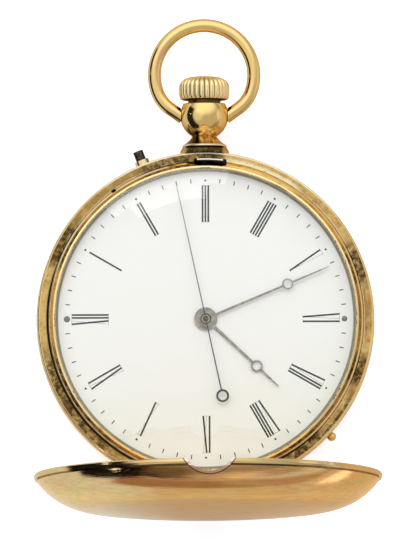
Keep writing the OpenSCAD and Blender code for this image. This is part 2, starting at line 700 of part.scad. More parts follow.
// Barrel bridge: carries the barrel, the crown wheel and the winding stem
module barrel_bridge_outline() {
    difference() {
        circle(plate_r - 0.3, $fn = 180);
        polygon(concat([[0, 0]], [for (a = [bridge_a1:15:bridge_a0 + 360]) 3 * plate_r * [cos(a), sin(a)]],
            [3 * plate_r * [cos(bridge_a0), sin(bridge_a0)]]));
        circle(n_centre / 2 * m_centre + 0.55, $fn = 120);
        translate(balance_at) circle(r_balance + 0.6, $fn = 120);
        translate(third_at) circle(sweep_tip_r + 0.4, $fn = 120);
    }
}
module barrel_bridge() {
    color(nickel) difference() {
        union() {
            at_seat(bridge_out) linear_extrude(bridge_in - bridge_out) barrel_bridge_outline();
            at_seat(bridge_in - cut) linear_extrude(plate_bottom - bridge_in + cut) intersection() {
                barrel_bridge_outline();
                difference() {
                    circle(plate_r - 0.3, $fn = 180);
                    circle(plate_r - 1.6, $fn = 180);
                    translate(at(centre_at, plate_r, push_angle + 6)) circle(6.3, $fn = 48);
                    translate(barrel_at) circle((n_barrel / 2 + 1) * m_barrel + 0.3, $fn = 120);
                    translate([-3, plate_r - 3]) square([6, 4]);
                }
            }
        }
        on(barrel_at, bridge_out - cut)
            cyl(n_ratchet / 2 * m_winding + 0.55, winding_floor - bridge_out + cut);
        on(crown_wheel_at, bridge_out - cut)
            cyl(crown_wheel_r + 0.5, winding_floor - bridge_out + cut);
        on(barrel_at, bridge_out - cut) cyl(barrel_pivot_r + 0.06, 3);
        on(crown_wheel_at, bridge_out - cut) cyl(crown_hub_r + 0.06, 3);
        on(click_at, bridge_out - cut) cyl(click_r + 0.15, winding_floor - bridge_out + cut);
        click_pocket();
        stem_cut();
        for (p = bridge_spots) screw_hole(p, bridge_out - 1, 4);
    }
}
click_r = 1.0;
crown_hub_r = 0.8;
module click_pocket() {
    at_seat(bridge_out - cut) linear_extrude(winding_floor - bridge_out + cut) {
        hull() {
            translate(click_at) circle(click_r + 0.2, $fn = 32);
            translate(click_nose) circle(0.45, $fn = 32);
        }
        hull() {
            translate(click_at) circle(click_r + 0.2, $fn = 32);
            translate(click_spring_end) circle(0.7, $fn = 32);
        }
    }
}
ratchet_tip_r = n_ratchet / 2 * m_winding + m_winding;
click_nose = at(barrel_at, ratchet_tip_r + 0.1, 130);
click_spring_end = at(click_at, 3.4, 60);
bridge_spots = [for (a = [172, 62, 146]) at(centre_at, plate_r - 1.5, a)];

// Train bridge: carries the centre, third, fourth and escape wheels
module train_bridge_outline() {
    difference() {
        union() {
            hull() {
                circle(2, $fn = 64);
                translate(third_at) circle(1.8, $fn = 64);
            }
            hull() {
                circle(2, $fn = 64);
                translate(escape_at) circle(1.6, $fn = 64);
            }
            hull() {
                translate(third_at) circle(2.6, $fn = 64);
                translate(fourth_at) circle(2.6, $fn = 64);
                translate(escape_at) circle(1.6, $fn = 64);
                translate(at(centre_at, fit(15), -62)) circle(2.5, $fn = 64);
                translate(at(centre_at, fit(15), 8)) circle(2.5, $fn = 64);
            }
            train_foot();
        }
        translate(balance_at) circle(r_balance + 0.35, $fn = 120);
    }
}
train_foot_r = fit(13.3);
module train_foot() {
    intersection() {
        difference() {
            circle(plate_r - 0.3, $fn = 180);
            circle(train_foot_r, $fn = 180);
        }
        polygon([[0, 0], 2 * plate_r * [cos(-70), sin(-70)], [3 * plate_r, -1.5 * plate_r],
            2 * plate_r * [cos(19), sin(19)]]);
    }
}
module train_bridge() {
    color(nickel) difference() {
        union() {
            at_seat(bridge_out) linear_extrude(train_in - bridge_out) train_bridge_outline();
            at_seat(train_in - cut) linear_extrude(plate_bottom - train_in + cut) train_foot();
        }
        at_seat(bridge_out - 1) cyl(centre_arbor_r + 0.06, 3);
        for (p = train_jewels) on(p, bridge_out - cut) cyl(jewel_r, jewel_t + cut);
        for (p = train_jewels) on(p, bridge_out - cut) cyl(pivot_r + 0.06, 2);
        on(third_at, bridge_out - cut) cyl(0.36, 2);
        for (p = train_spots) screw_hole(p, bridge_out - 1, 4);
    }
}
train_jewels = [fourth_at, escape_at];
train_spots = [for (a = [-62, -5]) at(centre_at, plate_r - 2.3, a)];

// Seconds cock: over the driving wheel, holds the third arbor and the seconds arbor
module seconds_cock() {
    color(nickel) difference() {
        union() {
            at_seat(seconds_cock_out) linear_extrude(cock_in - seconds_cock_out) {
                hull() {
                    circle(1.5, $fn = 48);
                    translate(third_at) circle(1.2, $fn = 48);
                }
                hull() {
                    translate(third_at) circle(1.0, $fn = 48);
                    translate(seconds_foot_at) circle(1.6, $fn = 48);
                }
            }
            on(seconds_foot_at, cock_in - 0.3) cyl(1.45, bridge_out - cock_in + 0.3);
        }
        for (p = cock_jewels) on(p, cock_in - jewel_t) cyl(jewel_r, 1);
        for (p = cock_jewels) on(p, seconds_cock_out - cut) cyl(pivot_r + 0.06, 1);
        screw_hole(seconds_foot_at, seconds_cock_out - 1, 4);
    }
}
cock_jewels = [centre_at, third_at];

module pallet_cock() {
    color(nickel) difference() {
        union() {
            at_seat(pallet_cock_out) linear_extrude(pallet_cock_in - pallet_cock_out) hull() {
                translate(pallet_at) circle(0.8, $fn = 32);
                translate(pallet_foot_at) circle(1.05, $fn = 32);
            }
            on(pallet_foot_at, pallet_cock_in - cut)
                cyl(1.0, plate_bottom - pallet_cock_in + cut);
        }
        on(pallet_at, pallet_cock_out - cut) cyl(jewel_r, jewel_t + cut);
        on(pallet_at, pallet_cock_out - cut) cyl(pivot_r + 0.06, 1);
        screw_hole(pallet_foot_at, pallet_cock_out - 1, 6);
    }
}

module balance_cock() {
    color(nickel) difference() {
        union() {
            at_seat(cock_out) linear_extrude(cock_in - cock_out) hull() {
                translate(balance_at) circle(2.1, $fn = 32);
                translate(cock_foot_at) circle(2.7, $fn = 32);
            }
            on(cock_foot_at, cock_in - 0.3) cyl(2.5, plate_bottom - cock_in + 0.3);
            on(stud_at, cock_in - 0.3) cyl(0.3, hairspring_z0 + 0.25 - cock_in + 0.3);
        }
        on(balance_at, cock_out - cut) cyl(jewel_r, jewel_t + cut);
        on(balance_at, cock_out - cut) cyl(pivot_r + 0.06, 2);
        screw_hole(cock_foot_at, cock_out - 1, 6);
    }
}
hairspring_r = fit(3.0);
hairspring_z0 = -4.75;
stud_at = at(balance_at, hairspring_r + 0.45, 0);

module regulator() {
    tail = at(balance_at, r_balance * 0.47, -150);
    color(steel) at_seat(cock_out - 0.25) difference() {
        linear_extrude(0.25) {
            translate(balance_at) circle(1.5, $fn = 64);
            hull() {
                translate(balance_at) circle(0.5, $fn = 32);
                translate(tail) circle(0.12, $fn = 32);
            }
        }
        translate([balance_at[0], balance_at[1], -cut]) cyl(0.8, 1);
    }
}

module jewel() { color(ruby) tube(jewel_r, pivot_r + 0.05, jewel_t); }
module jewels() {
    for (p = plate_jewels) on(p, plate_bottom) jewel();
    for (p = train_jewels) on(p, bridge_out) jewel();
    for (p = cock_jewels) on(p, cock_in - jewel_t) jewel();
    on(pallet_at, pallet_cock_out) jewel();
    on(balance_at, cock_out) jewel();
}

// Cheese-head screw standing on the face at height z, with its shank in the bridge
module screw(p, z, shank) {
    on(p, z - 0.35) difference() {
        union() {
            cyl(screw_r, 0.35);
            cyl(screw_r * 0.55, 0.35 + shank);
        }
        translate([-screw_r - 1, -0.12, -cut]) cube([2 * screw_r + 2, 0.24, 0.15]);
    }
}
module bridge_screws() {
    color(blued) {
        for (p = bridge_spots) screw(p, bridge_out, plate_bottom - bridge_out - 0.1);
        for (p = train_spots) screw(p, bridge_out, plate_bottom - bridge_out - 0.1);
        screw(seconds_foot_at, seconds_cock_out, bridge_out - seconds_cock_out);
        screw(pallet_foot_at, pallet_cock_out, plate_bottom - pallet_cock_out - 0.1);
        screw(cock_foot_at, cock_out, plate_bottom - cock_out - 0.1);
    }
}
module case_screws() {
    color(blued) for (p = case_screw_spots) {
        on(p, case_screw_z) difference() {
            union() {
                cyl(0.5, 1);
                cyl(case_screw_r, 0.4);
            }
            translate([-3, -0.12, -cut]) cube([6, 0.24, 0.15]);
        }
    }
}

// Springs in the channel of the case middle
module channel_arc(ri, ro, z0, z1, a0, a1) {
    rotate(a0) translate([0, 0, z0]) rotate_extrude(angle = a1 - a0, $fn = 180)
        translate([ri, 0]) square([ro - ri, z1 - z0]);
}
module fly_spring() {
    z0 = back_depth + foot_t;
    z1 = seat_z - seat_t;
    color(steel) {
        channel_arc(chan_r - 0.9, chan_r - 0.2, z0 + 0.3, z1 - 0.3, 190, 262);
        channel_arc(chan_r - 1.5, chan_r - 0.1, z0, z1, 182, 192);
    }
}
module click_spring() {
    color(steel) at_seat(bridge_out) linear_extrude(0.3) difference() {
        hull() {
            translate(click_spring_end) circle(0.55, $fn = 32);
            translate(at(click_at, click_r + 0.25, 60)) circle(0.12, $fn = 32);
        }
        translate(click_at) circle(click_r + 0.08, $fn = 32);
    }
}

// Bow: a round ring whose lower ends bend in and fit the ball, with a pin at each end in its holes
module bow() {
    joint = 0.004;
    off_ball = [sin(bow_slope), -cos(bow_slope)];
    bend_out = bow_r - bow_bend_r;
    line_out = [ball_r, -bow_out] * off_ball - bow_bend_r;
    bend_a = acos(line_out / bend_out) + bow_slope - 90;
    bend_at = bend_out * [cos(bend_a), sin(bend_a)];
    end_at = bend_at + bow_bend_r * off_ball;
    end_l = norm(end_at - [ball_r, -bow_out]) + 0.6;
    color(gold) translate([0, ball_y, stem_z]) {
        difference() {
            translate([0, bow_out, 0]) {
                bow_arc(bow_r, bow_t / 2, bend_a, 180 - 2 * bend_a);
                for (s = [0, 1]) mirror([s, 0, 0]) {
                    translate(bend_at)
                        bow_arc(bow_bend_r, bow_t / 2 - joint, bow_slope - 90, bend_a - bow_slope + 91);
                    translate(end_at) rotate(bow_slope + 180) translate([-0.1, 0, 0])
                        rotate([0, 90, 0]) cyl(bow_t / 2 - 2 * joint, end_l);
                }
            }
            rotate(45) sphere(ball_r + pin_play, $fn = 96);
        }
        for (s = [-1, 1]) translate([s * (ball_r - 0.9), 0, 0]) rotate([0, 90 * s, 0]) cyl(bow_pin_r, 1.3);
    }
}
module bow_arc(r, section_r, a, sweep) {
    rotate(a) rotate_extrude(angle = sweep, $fn = 128) translate([r, 0]) circle(section_r, $fn = 48);
}

// Crown: fluted grip with a round shoulder, and a sleeve, with the bore for the stem
crown_y = pendant_end_y + crown_travel + 0.1;
module crown() {
    pitch = 360 / crown_flutes;
    shoulder = crown_h * 0.54;
    top_r = crown_r * 0.4;
    outline = [for (i = [0:crown_flutes - 1]) each [
        (crown_r - flute_d) * [cos((i - 0.32) * pitch), sin((i - 0.32) * pitch)],
        crown_r * [cos((i - 0.16) * pitch), sin((i - 0.16) * pitch)],
        crown_r * [cos((i + 0.16) * pitch), sin((i + 0.16) * pitch)],
        (crown_r - flute_d) * [cos((i + 0.32) * pitch), sin((i + 0.32) * pitch)]]];
    color(gold) difference() {
        union() {
            intersection() {
                along_stem(crown_y) linear_extrude(crown_h) polygon(outline);
                along_stem(crown_y) lathe(concat([[0, 0], [crown_r - 0.5, 0], [crown_r - 0.14, 0.25],
                    [crown_r + 0.01, 0.75]],
                    [for (a = [0:11.25:90]) [top_r + (crown_r + 0.01 - top_r) * cos(a),
                        shoulder + (crown_h - 0.06 - shoulder) * sin(a)]], [[0, crown_h]]));
            }
            along_stem(pendant_end_y - 0.7) cyl(sleeve_r, crown_y - pendant_end_y + 0.75);
        }
        along_stem(pendant_end_y - 1) cyl(stem_r, crown_y - pendant_end_y + 2.5);
    }
}
module winding_stem() {
    pinion_end = pinion_y + pinion_l + 0.2 + crown_travel;
    color(steel) {
        along_stem(pinion_end) cyl(stem_r, crown_y + 1.4 - pinion_end);
        along_stem(pinion_y - clutch_l - 0.75) prism(stem_core_r, 9, 8);
    }
}

// Winding work
module bored(r, sides = 16) {
    difference() {
        children();
        translate([0, 0, -10]) prism(r, 20, sides);
    }
}
pinion_rot = 90;
crown_rot = 90 + 180 / n_crown;
ratchet_rot = meshed(dir_of(crown_wheel_at, barrel_at), n_crown, crown_rot, n_ratchet);

module winding_pinion() {
    color(steel) along_stem(pinion_y) bored(stem_core_r + 0.05) {
        union() {
            toothed(n_winding, m_winding, pinion_l, pinion_rot, leaf_tooth);
            translate([0, 0, -0.15]) prism(winding_r * 0.75, 0.2);
        }
    }
}
module clutch_wheel() {
    color(steel) along_stem(pinion_y - clutch_l - 0.2) bored(stem_core_r + 0.05) union() {
        prism(winding_r * 0.62, clutch_l);
        prism(winding_r * 0.8, 0.7, 12);
        translate([0, 0, clutch_l - 0.8]) prism(winding_r * 0.8, 0.8);
    }
}
module crown_wheel() {
    color(steel) on(crown_wheel_at, -3.95) {
        difference() {
            toothed(n_crown, m_winding, 0.37, crown_rot);
            translate([0, 0, -cut]) prism(1.5, 0.2, 24);
        }
        translate([0, 0, 0.3]) prism(crown_hub_r, 0.9, 24);
    }
}
module ratchet_wheel() {
    color(steel) on(barrel_at, -3.95) difference() {
        toothed(n_ratchet, m_winding, 0.37, ratchet_rot);
        translate([0, 0, -cut]) prism(0.65, 1, 4);
        translate([0, 0, -cut]) difference() {
            prism(4.2, 0.1, 36);
            translate([0, 0, -1]) prism(1.7, 2, 36);
        }
    }
}
module click() {
    color(steel) at_seat(-3.95) linear_extrude(0.35) {
        translate(click_at) circle(click_r, $fn = 32);
        hull() {
            translate(click_at) circle(0.7, $fn = 32);
            translate(click_nose) circle(0.08, $fn = 32);
        }
    }
}

// Barrel
drum_web = 0.2;
module barrel_drum() {
    color(nickel) on(barrel_at, 0) {
        difference() {
            union() {
                translate([0, 0, drum_z0]) prism(drum_r, drum_z1 - drum_z0, 72);
                translate([0, 0, -2.4]) toothed(n_barrel, m_barrel, 0.45, 0);
            }
            translate([0, 0, drum_z0 + drum_web]) prism(drum_r - 0.3, 3, 72);
            translate([0, 0, drum_z0 - cut]) prism(barrel_arbor_r + 0.08, 1, 24);
        }
    }
}
barrel_arbor_r = 1.1;
module barrel_lid() {
    color(nickel) on(barrel_at, drum_z1 - 0.2) difference() {
        prism(drum_r - 0.3, 0.2, 72);
        translate([0, 0, -1]) prism(barrel_arbor_r + 0.08, 2, 24);
    }
}
module barrel_arbor() {
    color(steel) on(barrel_at, 0) {
        translate([0, 0, drum_z0 + drum_web + 0.05]) prism(barrel_core_r, drum_inside - 0.1, 24);
        translate([0, 0, drum_z0 - 0.02]) prism(barrel_arbor_r, drum_z1 - drum_z0 + 0.04, 24);
        translate([0, 0, winding_floor]) prism(barrel_pivot_r, -0.3 - winding_floor, 24);
        translate([0, 0, -4.05]) prism(0.64, 1, 4);
        translate([0, 0, -4.15]) prism(1.3, 0.2, 24);
    }
}
barrel_core_r = 2.0;
drum_inside = drum_z1 - drum_z0 - 2 * drum_web;
module mainspring() {
    color(steel) on(barrel_at, drum_z0 + drum_web + 0.08)
        spiral(barrel_core_r + 0.35, drum_r - 0.55, mainspring_turns, 0.16, drum_inside - 0.16);
}

// Going train
centre_wheel_z = -3.02;
third_wheel_z = -2.3;
fourth_wheel_z = -3.35;
escape_wheel_z = -2.35;
centre_pinion_rot = meshed(dir_of(barrel_at, centre_at), n_barrel, 0, n_centre_pinion);
third_pinion_rot = meshed(third_dir, n_centre, 0, n_third_pinion);
fourth_pinion_rot = meshed(fourth_dir, n_third, 0, n_fourth_pinion);
escape_pinion_rot = meshed(escape_dir, n_fourth, 0, n_escape_pinion);
seconds_pinion_rot = meshed(dir_of(third_at, centre_at), n_sweep, 0, n_seconds_pinion);
minute_wheel_rot = meshed(minute_dir, n_cannon, 0, n_minute);
hour_wheel_rot = meshed(dir_of(minute_at, centre_at), n_minute_pinion, 0, n_hour);

module centre_wheel() {
    color(gold) at_seat(0) difference() {
        union() {
            translate([0, 0, centre_wheel_z]) spoked(n_centre, m_centre, wheel_t, 0, 1.1, 0.4, 5, 0.3);
            translate([0, 0, -2.5]) toothed(n_centre_pinion, m_barrel, 0.65, centre_pinion_rot, leaf_tooth);
            translate([0, 0, bridge_out + 0.05]) prism(centre_arbor_r, 3.1);
            translate([0, 0, -2]) prism(centre_arbor_r, 2.2 + minute_hand_z - 0.4);
        }
        translate([0, 0, -8]) prism(seconds_arbor_r + 0.07, 12);
    }
}
seconds_arbor_r = 0.2;

module third_wheel() {
    color(gold) on(third_at, 0) {
        translate([0, 0, third_wheel_z]) spoked(n_third, m_third, wheel_t, 0, 0.8, 0.4, 5, 0.25);
        translate([0, 0, -3.05]) toothed(n_third_pinion, m_centre, 0.45, third_pinion_rot, leaf_tooth);
        translate([0, 0, -4.65]) spoked(n_sweep, sweep_m, wheel_t, 0, 0.9, 0.45, 5, 0.25);
        arbor(0.26, -4.8, plate_bottom - 0.1, cock_in - jewel_t + 0.02, plate_bottom + jewel_t - 0.02);
    }
}
module fourth_wheel() {
    color(gold) on(fourth_at, 0) {
        translate([0, 0, fourth_wheel_z]) spoked(n_fourth, m_fourth, wheel_t, 0, 0.8, 0.4, 5, 0.13);
        translate([0, 0, -2.4]) toothed(n_fourth_pinion, m_third, 0.5, fourth_pinion_rot, leaf_tooth);
        arbor(0.14, train_in + 0.05, plate_bottom - 0.1, bridge_out + 0.02, plate_bottom + jewel_t - 0.02);
    }
}
module escape_wheel() {
    pitch = 360 / n_escape;
    root = r_escape * 0.77;
    outline = [for (i = [0:n_escape - 1]) let (a = escape_rot + i * pitch) each [
        root * [cos(a - 9), sin(a - 9)], (r_escape - 0.12) * [cos(a - 1.6), sin(a - 1.6)],
        r_escape * [cos(a + 0.9), sin(a + 0.9)], root * [cos(a - 1), sin(a - 1)]]];
    color(steel) on(escape_at, 0) {
        translate([0, 0, escape_wheel_z]) linear_extrude(wheel_t) difference() {
            polygon(outline);
            for (i = [0:3]) polygon(sector(0.7, root - 0.35, 38, 45 + 90 * i));
        }
        translate([0, 0, -3.4]) toothed(n_escape_pinion, m_fourth, 0.33, escape_pinion_rot, leaf_tooth);
        arbor(0.17, train_in + 0.03, plate_bottom - 0.1, bridge_out + 0.02, plate_bottom + jewel_t - 0.02);
    }
}
escape_rot = pallet_dir + 30 + 8;

// Pallet fork: two arms with ruby stones, and the lever to the balance
module pallet_fork() {
    entry = at(escape_at, r_escape + 0.06, pallet_dir - 30);
    exit = at(escape_at, r_escape + 0.06, pallet_dir + 30);
    fork = at(pallet_at, fit(4.25), pallet_dir);
    color(steel) {
        at_seat(-2.72) linear_extrude(0.22) {
            for (stone = [entry, exit]) hull() {
                translate(pallet_at) circle(0.4, $fn = 12);
                translate(stone + 0.18 * (stone - escape_at) / norm(stone - escape_at))
                    circle(0.22, $fn = 12);
            }
            difference() {
                hull() {
                    translate(pallet_at) circle(0.4, $fn = 12);
                    translate(fork) circle(0.3, $fn = 12);
                }
                translate(fork) rotate(pallet_dir) square([0.9, 0.2], center = true);
            }
        }
        on(pallet_at, 0)
            arbor(0.2, pallet_cock_in + 0.05, plate_bottom - 0.1, pallet_cock_out + 0.02,
                plate_bottom + jewel_t - 0.02);
    }
    color(ruby) for (stone = [entry, exit]) on(stone, -2.6)
        rotate(dir_of(escape_at, stone)) translate([0, -0.14, 0]) cube([0.55, 0.28, 0.55]);
}

// Balance
module balance_wheel() {
    rim_ro = r_balance - 0.55;
    rim_ri = rim_ro - 0.5;
    color(gold) on(balance_at, 0) {
        translate([0, 0, -4.15]) difference() {
            union() {
                tube(rim_ro, rim_ri, 0.6);
                translate([-rim_ri - 0.2, -0.35, 0.2]) cube([2 * rim_ri + 0.4, 0.7, 0.25]);
                translate([0, 0, 0.2]) cyl(0.9, 0.25);
            }
            translate([0, 0, -1]) prism(0.3, 3);
            for (a = [8, 188]) rotate(a) translate([rim_ri - 1, -0.08, -1]) cube([3, 0.16, 3]);
        }
        for (i = [0:balance_screws - 1]) rotate((i + 0.5) * 360 / balance_screws)
            translate([rim_ro - 0.1, 0, -3.85]) rotate([0, 90, 0]) cyl(0.27, r_balance - rim_ro + 0.1);
    }
}
module balance_staff() {
    color(steel) on(balance_at, 0) {
        translate([0, 0, -4.75]) prism(0.28, 1.6);
        translate([0, 0, -4.78]) prism(0.42, 0.25);
        translate([0, 0, -3.3]) prism(0.95, 0.25, 24);
        rotate(pallet_dir + 180) translate([0.72, 0, -3.1]) prism(0.08, 0.3, 8);
        arbor(0.2, cock_in + 0.05, plate_bottom - 0.1, cock_out + 0.02, plate_bottom + jewel_t - 0.02);
    }
}
module hairspring() {
    color(blued) on(balance_at, hairspring_z0) {
        spiral(0.5, hairspring_r, hairspring_turns, 0.07, 0.22);
    }
}

// Motion work
module cannon_pinion() {
    color(steel) at_seat(0) difference() {
        union() {
            translate([0, 0, -1.0]) toothed(n_cannon, m_cannon, 0.35, 0, leaf_tooth);
            translate([0, 0, -1.0]) prism(cannon_r, 1.0 + minute_hand_z + hand_t, 24);
        }
        translate([0, 0, -2]) prism(centre_arbor_r, 6);
    }
}
module minute_wheel() {
    color(gold) on(minute_at, 0) {
        difference() {
            union() {
                translate([0, 0, -0.95]) toothed(n_minute, m_cannon, 0.25, minute_wheel_rot);
                translate([0, 0, -0.75]) toothed(n_minute_pinion, hour_m, 0.5, 0, leaf_tooth);
            }
            translate([0, 0, -1]) prism(0.25, 2);
        }
    }
}
module hour_wheel() {
    color(gold) at_seat(0) difference() {
        union() {
            translate([0, 0, -0.5]) toothed(n_hour, hour_m, 0.22, hour_wheel_rot);
            translate([0, 0, -0.5]) prism(hour_pipe_r, 0.5 + hour_hand_z + hand_t, 24);
        }
        translate([0, 0, -1]) prism(cannon_r + 0.08, 4, 24);
    }
}
module seconds_pinion() {
    color(steel) at_seat(0) {
        translate([0, 0, -4.68]) toothed(n_seconds_pinion, sweep_m, 0.3, seconds_pinion_rot, leaf_tooth);
        translate([0, 0, -4.75]) prism(seconds_arbor_r, 4.75 + seconds_hand_z + seconds_hand_t);
        translate([0, 0, cock_in - jewel_t + 0.02]) prism(pivot_r, 1);
    }
}

// Hands. Angles run clockwise from the twelve, which lies at -X on a hunter's dial.
function dial_dir(turn) = 180 - 360 * turn;
module hand(turn, z, t) { at_seat(z) rotate(dial_dir(turn)) linear_extrude(t) children(); }
module ring2d(ro, ri) {
    difference() {
        circle(ro, $fn = 64);
        circle(ri, $fn = 64);
    }
}
module pierced_hand(l, hub, ring_x, ring_ro, stroke, root_w, tip_w, bore) {
    difference() {
        union() {
            circle(hub, $fn = 64);
            polygon([[0, -root_w / 2], [ring_x - ring_ro + stroke / 2, -root_w * 0.4],
                [ring_x - ring_ro + stroke / 2, root_w * 0.4], [0, root_w / 2]]);
            translate([ring_x, 0]) ring2d(ring_ro, ring_ro - stroke);
            polygon([[ring_x + ring_ro - stroke / 2, -root_w * 0.42], [l - 1, -tip_w / 2], [l, -0.05],
                [l, 0.05], [l - 1, tip_w / 2], [ring_x + ring_ro - stroke / 2, root_w * 0.42]]);
        }
        polygon([for (i = [0:23]) bore * [cos(i * 15), sin(i * 15)]]);
    }
}
module hour_hand() {
    color(blued) hand(time_min / 720, hour_hand_z, hand_t)
        pierced_hand(hour_hand_l, 1.7, hour_hand_l * 0.7, 0.87, 0.25, 0.45, 0.2, hour_pipe_r);
}
module minute_hand() {
    color(blued) hand(time_min / 60, minute_hand_z, hand_t)
        pierced_hand(minute_hand_l, 1.25, minute_hand_l * 0.665, 0.82, 0.22, 0.36, 0.18, cannon_r);
}
module seconds_hand() {
    tail = dial_open_r - seconds_tail_gap;
    color(blued) hand(time_s / 60, seconds_hand_z, seconds_hand_t) difference() {
        union() {
            circle(0.46, $fn = 48);
            polygon([[-tail + 0.8, -0.09], [seconds_hand_l, -0.04], [seconds_hand_l, 0.04],
                [-tail + 0.8, 0.09]]);
            translate([-tail, 0]) ring2d(0.95, 0.65);
        }
        polygon([for (i = [0:15]) seconds_arbor_r * [cos(i * 22.5), sin(i * 22.5)]]);
    }
}

// Lid catch and setting work
module lock_spring() {
    z0 = back_depth + foot_t + 0.2;
    z1 = seat_z - seat_t - 0.15;
    color(steel) {
        channel_arc(chan_r - 0.95, chan_r - 0.45, z0 + 0.1, z1 - 0.1, 34, 83);
        difference() {
            channel_arc(chan_r - 1.7, chan_r - 0.2, z0, z1, 29, 35);
            on(lock_pin_at, -seat_t - chan_h) cyl(lock_pin_r + pin_play, chan_h);
        }
        intersection() {
            union() {
                translate([slot_x0 + 0.4, 0, z1 + 0.1]) cube([slot_x1 - slot_x0 - 0.9, case_r, 2.05]);
                translate([1.2, 0, z1 - 0.3]) cube([slot_x1 - 1.7, case_r, 0.5]);
            }
            tube(bolt_r1, bolt_r0, 20);
        }
        channel_arc(chan_r - 1.1, bolt_r1 + 0.15, z1 - 0.6, z1 - 0.05, 81.5, 86.2);
    }
}
module set_pin() {
    color(steel) {
        push_line(band_r + 0.35) cyl(push_r, 0.35 + push_travel + 0.65);
        push_line(frame_open_r + 0.2) cyl(0.4, band_r + 0.4 - frame_open_r);
    }
}
lever_stud_r = 0.4;
lever_pivot = at(centre_at, plate_r - 1.3, 128);
module setting_lever() {
    tip = at(centre_at, frame_open_r - 0.3, push_angle);
    color(steel) at_seat(-2.4) linear_extrude(0.5) difference() {
        hull() {
            translate(lever_pivot) circle(0.9, $fn = 32);
            translate(tip) circle(0.45, $fn = 32);
        }
        translate(lever_pivot) circle(lever_stud_r + pin_play, $fn = 32);
    }
}

case_middle();
pendant();
front_hinge_pin();
back_hinge_pin();
cuvette_hinge_pin();
bezel();
crystal();
dial();
main_plate();
barrel_bridge();
train_bridge();
seconds_cock();
pallet_cock();
balance_cock();
regulator();
jewels();
bridge_screws();
case_screws();
fly_spring();
click_spring();
front_lid();
back_cover();
cuvette();
bow();
crown();
winding_stem();
winding_pinion();
clutch_wheel();
crown_wheel();
ratchet_wheel();
click();
barrel_arbor();
barrel_drum();
barrel_lid();
mainspring();
centre_wheel();
cannon_pinion();
minute_hand();
minute_wheel();
hour_wheel();
hour_hand();
third_wheel();
fourth_wheel();
seconds_pinion();
seconds_hand();
escape_wheel();
pallet_fork();
balance_wheel();
balance_staff();
hairspring();
lock_spring();
set_pin();
setting_lever();
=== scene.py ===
import math
from collections import namedtuple
from functools import reduce

import bmesh
import bpy
import numpy as np
from mathutils import Matrix, Vector


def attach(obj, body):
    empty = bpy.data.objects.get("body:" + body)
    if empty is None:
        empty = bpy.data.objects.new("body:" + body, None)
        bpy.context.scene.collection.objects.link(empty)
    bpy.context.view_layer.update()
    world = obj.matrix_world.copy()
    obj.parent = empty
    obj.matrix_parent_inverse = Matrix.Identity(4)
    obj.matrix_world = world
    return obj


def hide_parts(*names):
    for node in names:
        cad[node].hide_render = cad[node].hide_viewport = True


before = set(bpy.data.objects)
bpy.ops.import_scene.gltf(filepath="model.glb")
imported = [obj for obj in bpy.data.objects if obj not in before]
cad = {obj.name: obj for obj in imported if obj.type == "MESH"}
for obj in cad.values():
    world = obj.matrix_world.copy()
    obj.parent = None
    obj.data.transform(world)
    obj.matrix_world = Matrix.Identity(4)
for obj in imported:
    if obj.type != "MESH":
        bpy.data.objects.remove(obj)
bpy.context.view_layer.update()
scene = bpy.context.scene
scene.view_settings.view_transform = "Standard"
MM = 0.001

# Camera. The photograph looks straight down on the dial from about a metre, and a little
# from the hinge side, which is why the outside of the standing lid shows.
seat = 8.6  # height of the lid's seat over the table, in millimetres as all sizes of the watch
photo_width, photo_roll, sensor_width = 60.41, math.radians(0.35), 36
looked_at = Vector((-0.06, 6.80, seat)) * MM
eye = looked_at + Vector((-8, -54, 1000)) * MM
view = bpy.data.cameras.new("view")
view.sensor_fit = "HORIZONTAL"
view.sensor_width = sensor_width
view.lens = sensor_width * (eye - looked_at).length / (photo_width * MM)
view.clip_start, view.clip_end = 0.01, 20
camera = bpy.data.objects.new("camera", view)
scene.collection.objects.link(camera)
ahead = (looked_at - eye).normalized()
right = ahead.cross(Vector((math.sin(photo_roll), math.cos(photo_roll), 0))).normalized()
turned = Matrix((right, right.cross(ahead), -ahead)).transposed()
camera.matrix_world = Matrix.Translation(eye) @ turned.to_4x4()
scene.camera = camera


# Studio. A pale room with a soft lamp behind the watch. Polished gold shows only what it mirrors,
# so the room has a dark doorway on the left, brown furniture in front, windows and small lights.
def fill(node, **inputs):
    """Sets or links a shader node's inputs. A key i0 or i1 is a socket by number, a key with a
    capital is its name with _ for a space, and any other key is a setting of the node."""
    for key, value in inputs.items():
        if key[0] == "i" and key[1:].isdigit():
            socket = node.inputs[int(key[1:])]
        elif key[0].isupper():
            socket = node.inputs[key.replace("_", " ")]
        else:
            setattr(node, key, value)
            continue
        if isinstance(value, bpy.types.NodeSocket):
            node.id_data.links.new(value, socket)
        else:
            socket.default_value = value
    return node


def put(tree, kind, **inputs):
    """Adds a shader node and fills it."""
    return fill(tree.nodes.new("ShaderNode" + kind), **inputs)


def tree_of(*values):
    """The shader tree of the first socket among some values."""
    return next(v for v in values if isinstance(v, bpy.types.NodeSocket)).node.id_data


def maths(operation, a, b=0.0):
    """One Math node. At least one of its two values is a socket."""
    return put(tree_of(a, b), "Math", operation=operation, i0=a, i1=b).outputs[0]


def minus(a, b):
    """Difference of two values."""
    return maths("SUBTRACT", a, b)


def total(*values):
    """Sum of the values, the first or second of them a socket."""
    return reduce(lambda a, b: maths("ADD", a, b), values)


def times(*values):
    """Product of the values, the first or second of them a socket."""
    return reduce(lambda a, b: maths("MULTIPLY", a, b), values)


def highest(*values):
    """The largest of the values, the first or second of them a socket."""
    return reduce(lambda a, b: maths("MAXIMUM", a, b), values)


def vectors(operation, a, b=(0, 0, 0)):
    """One Vector Math node, and its number where the operation gives one."""
    n = put(tree_of(a, b), "VectorMath", operation=operation, i0=a, i1=b)
    return n.outputs["Value" if operation in ("DOT_PRODUCT", "LENGTH", "DISTANCE") else "Vector"]


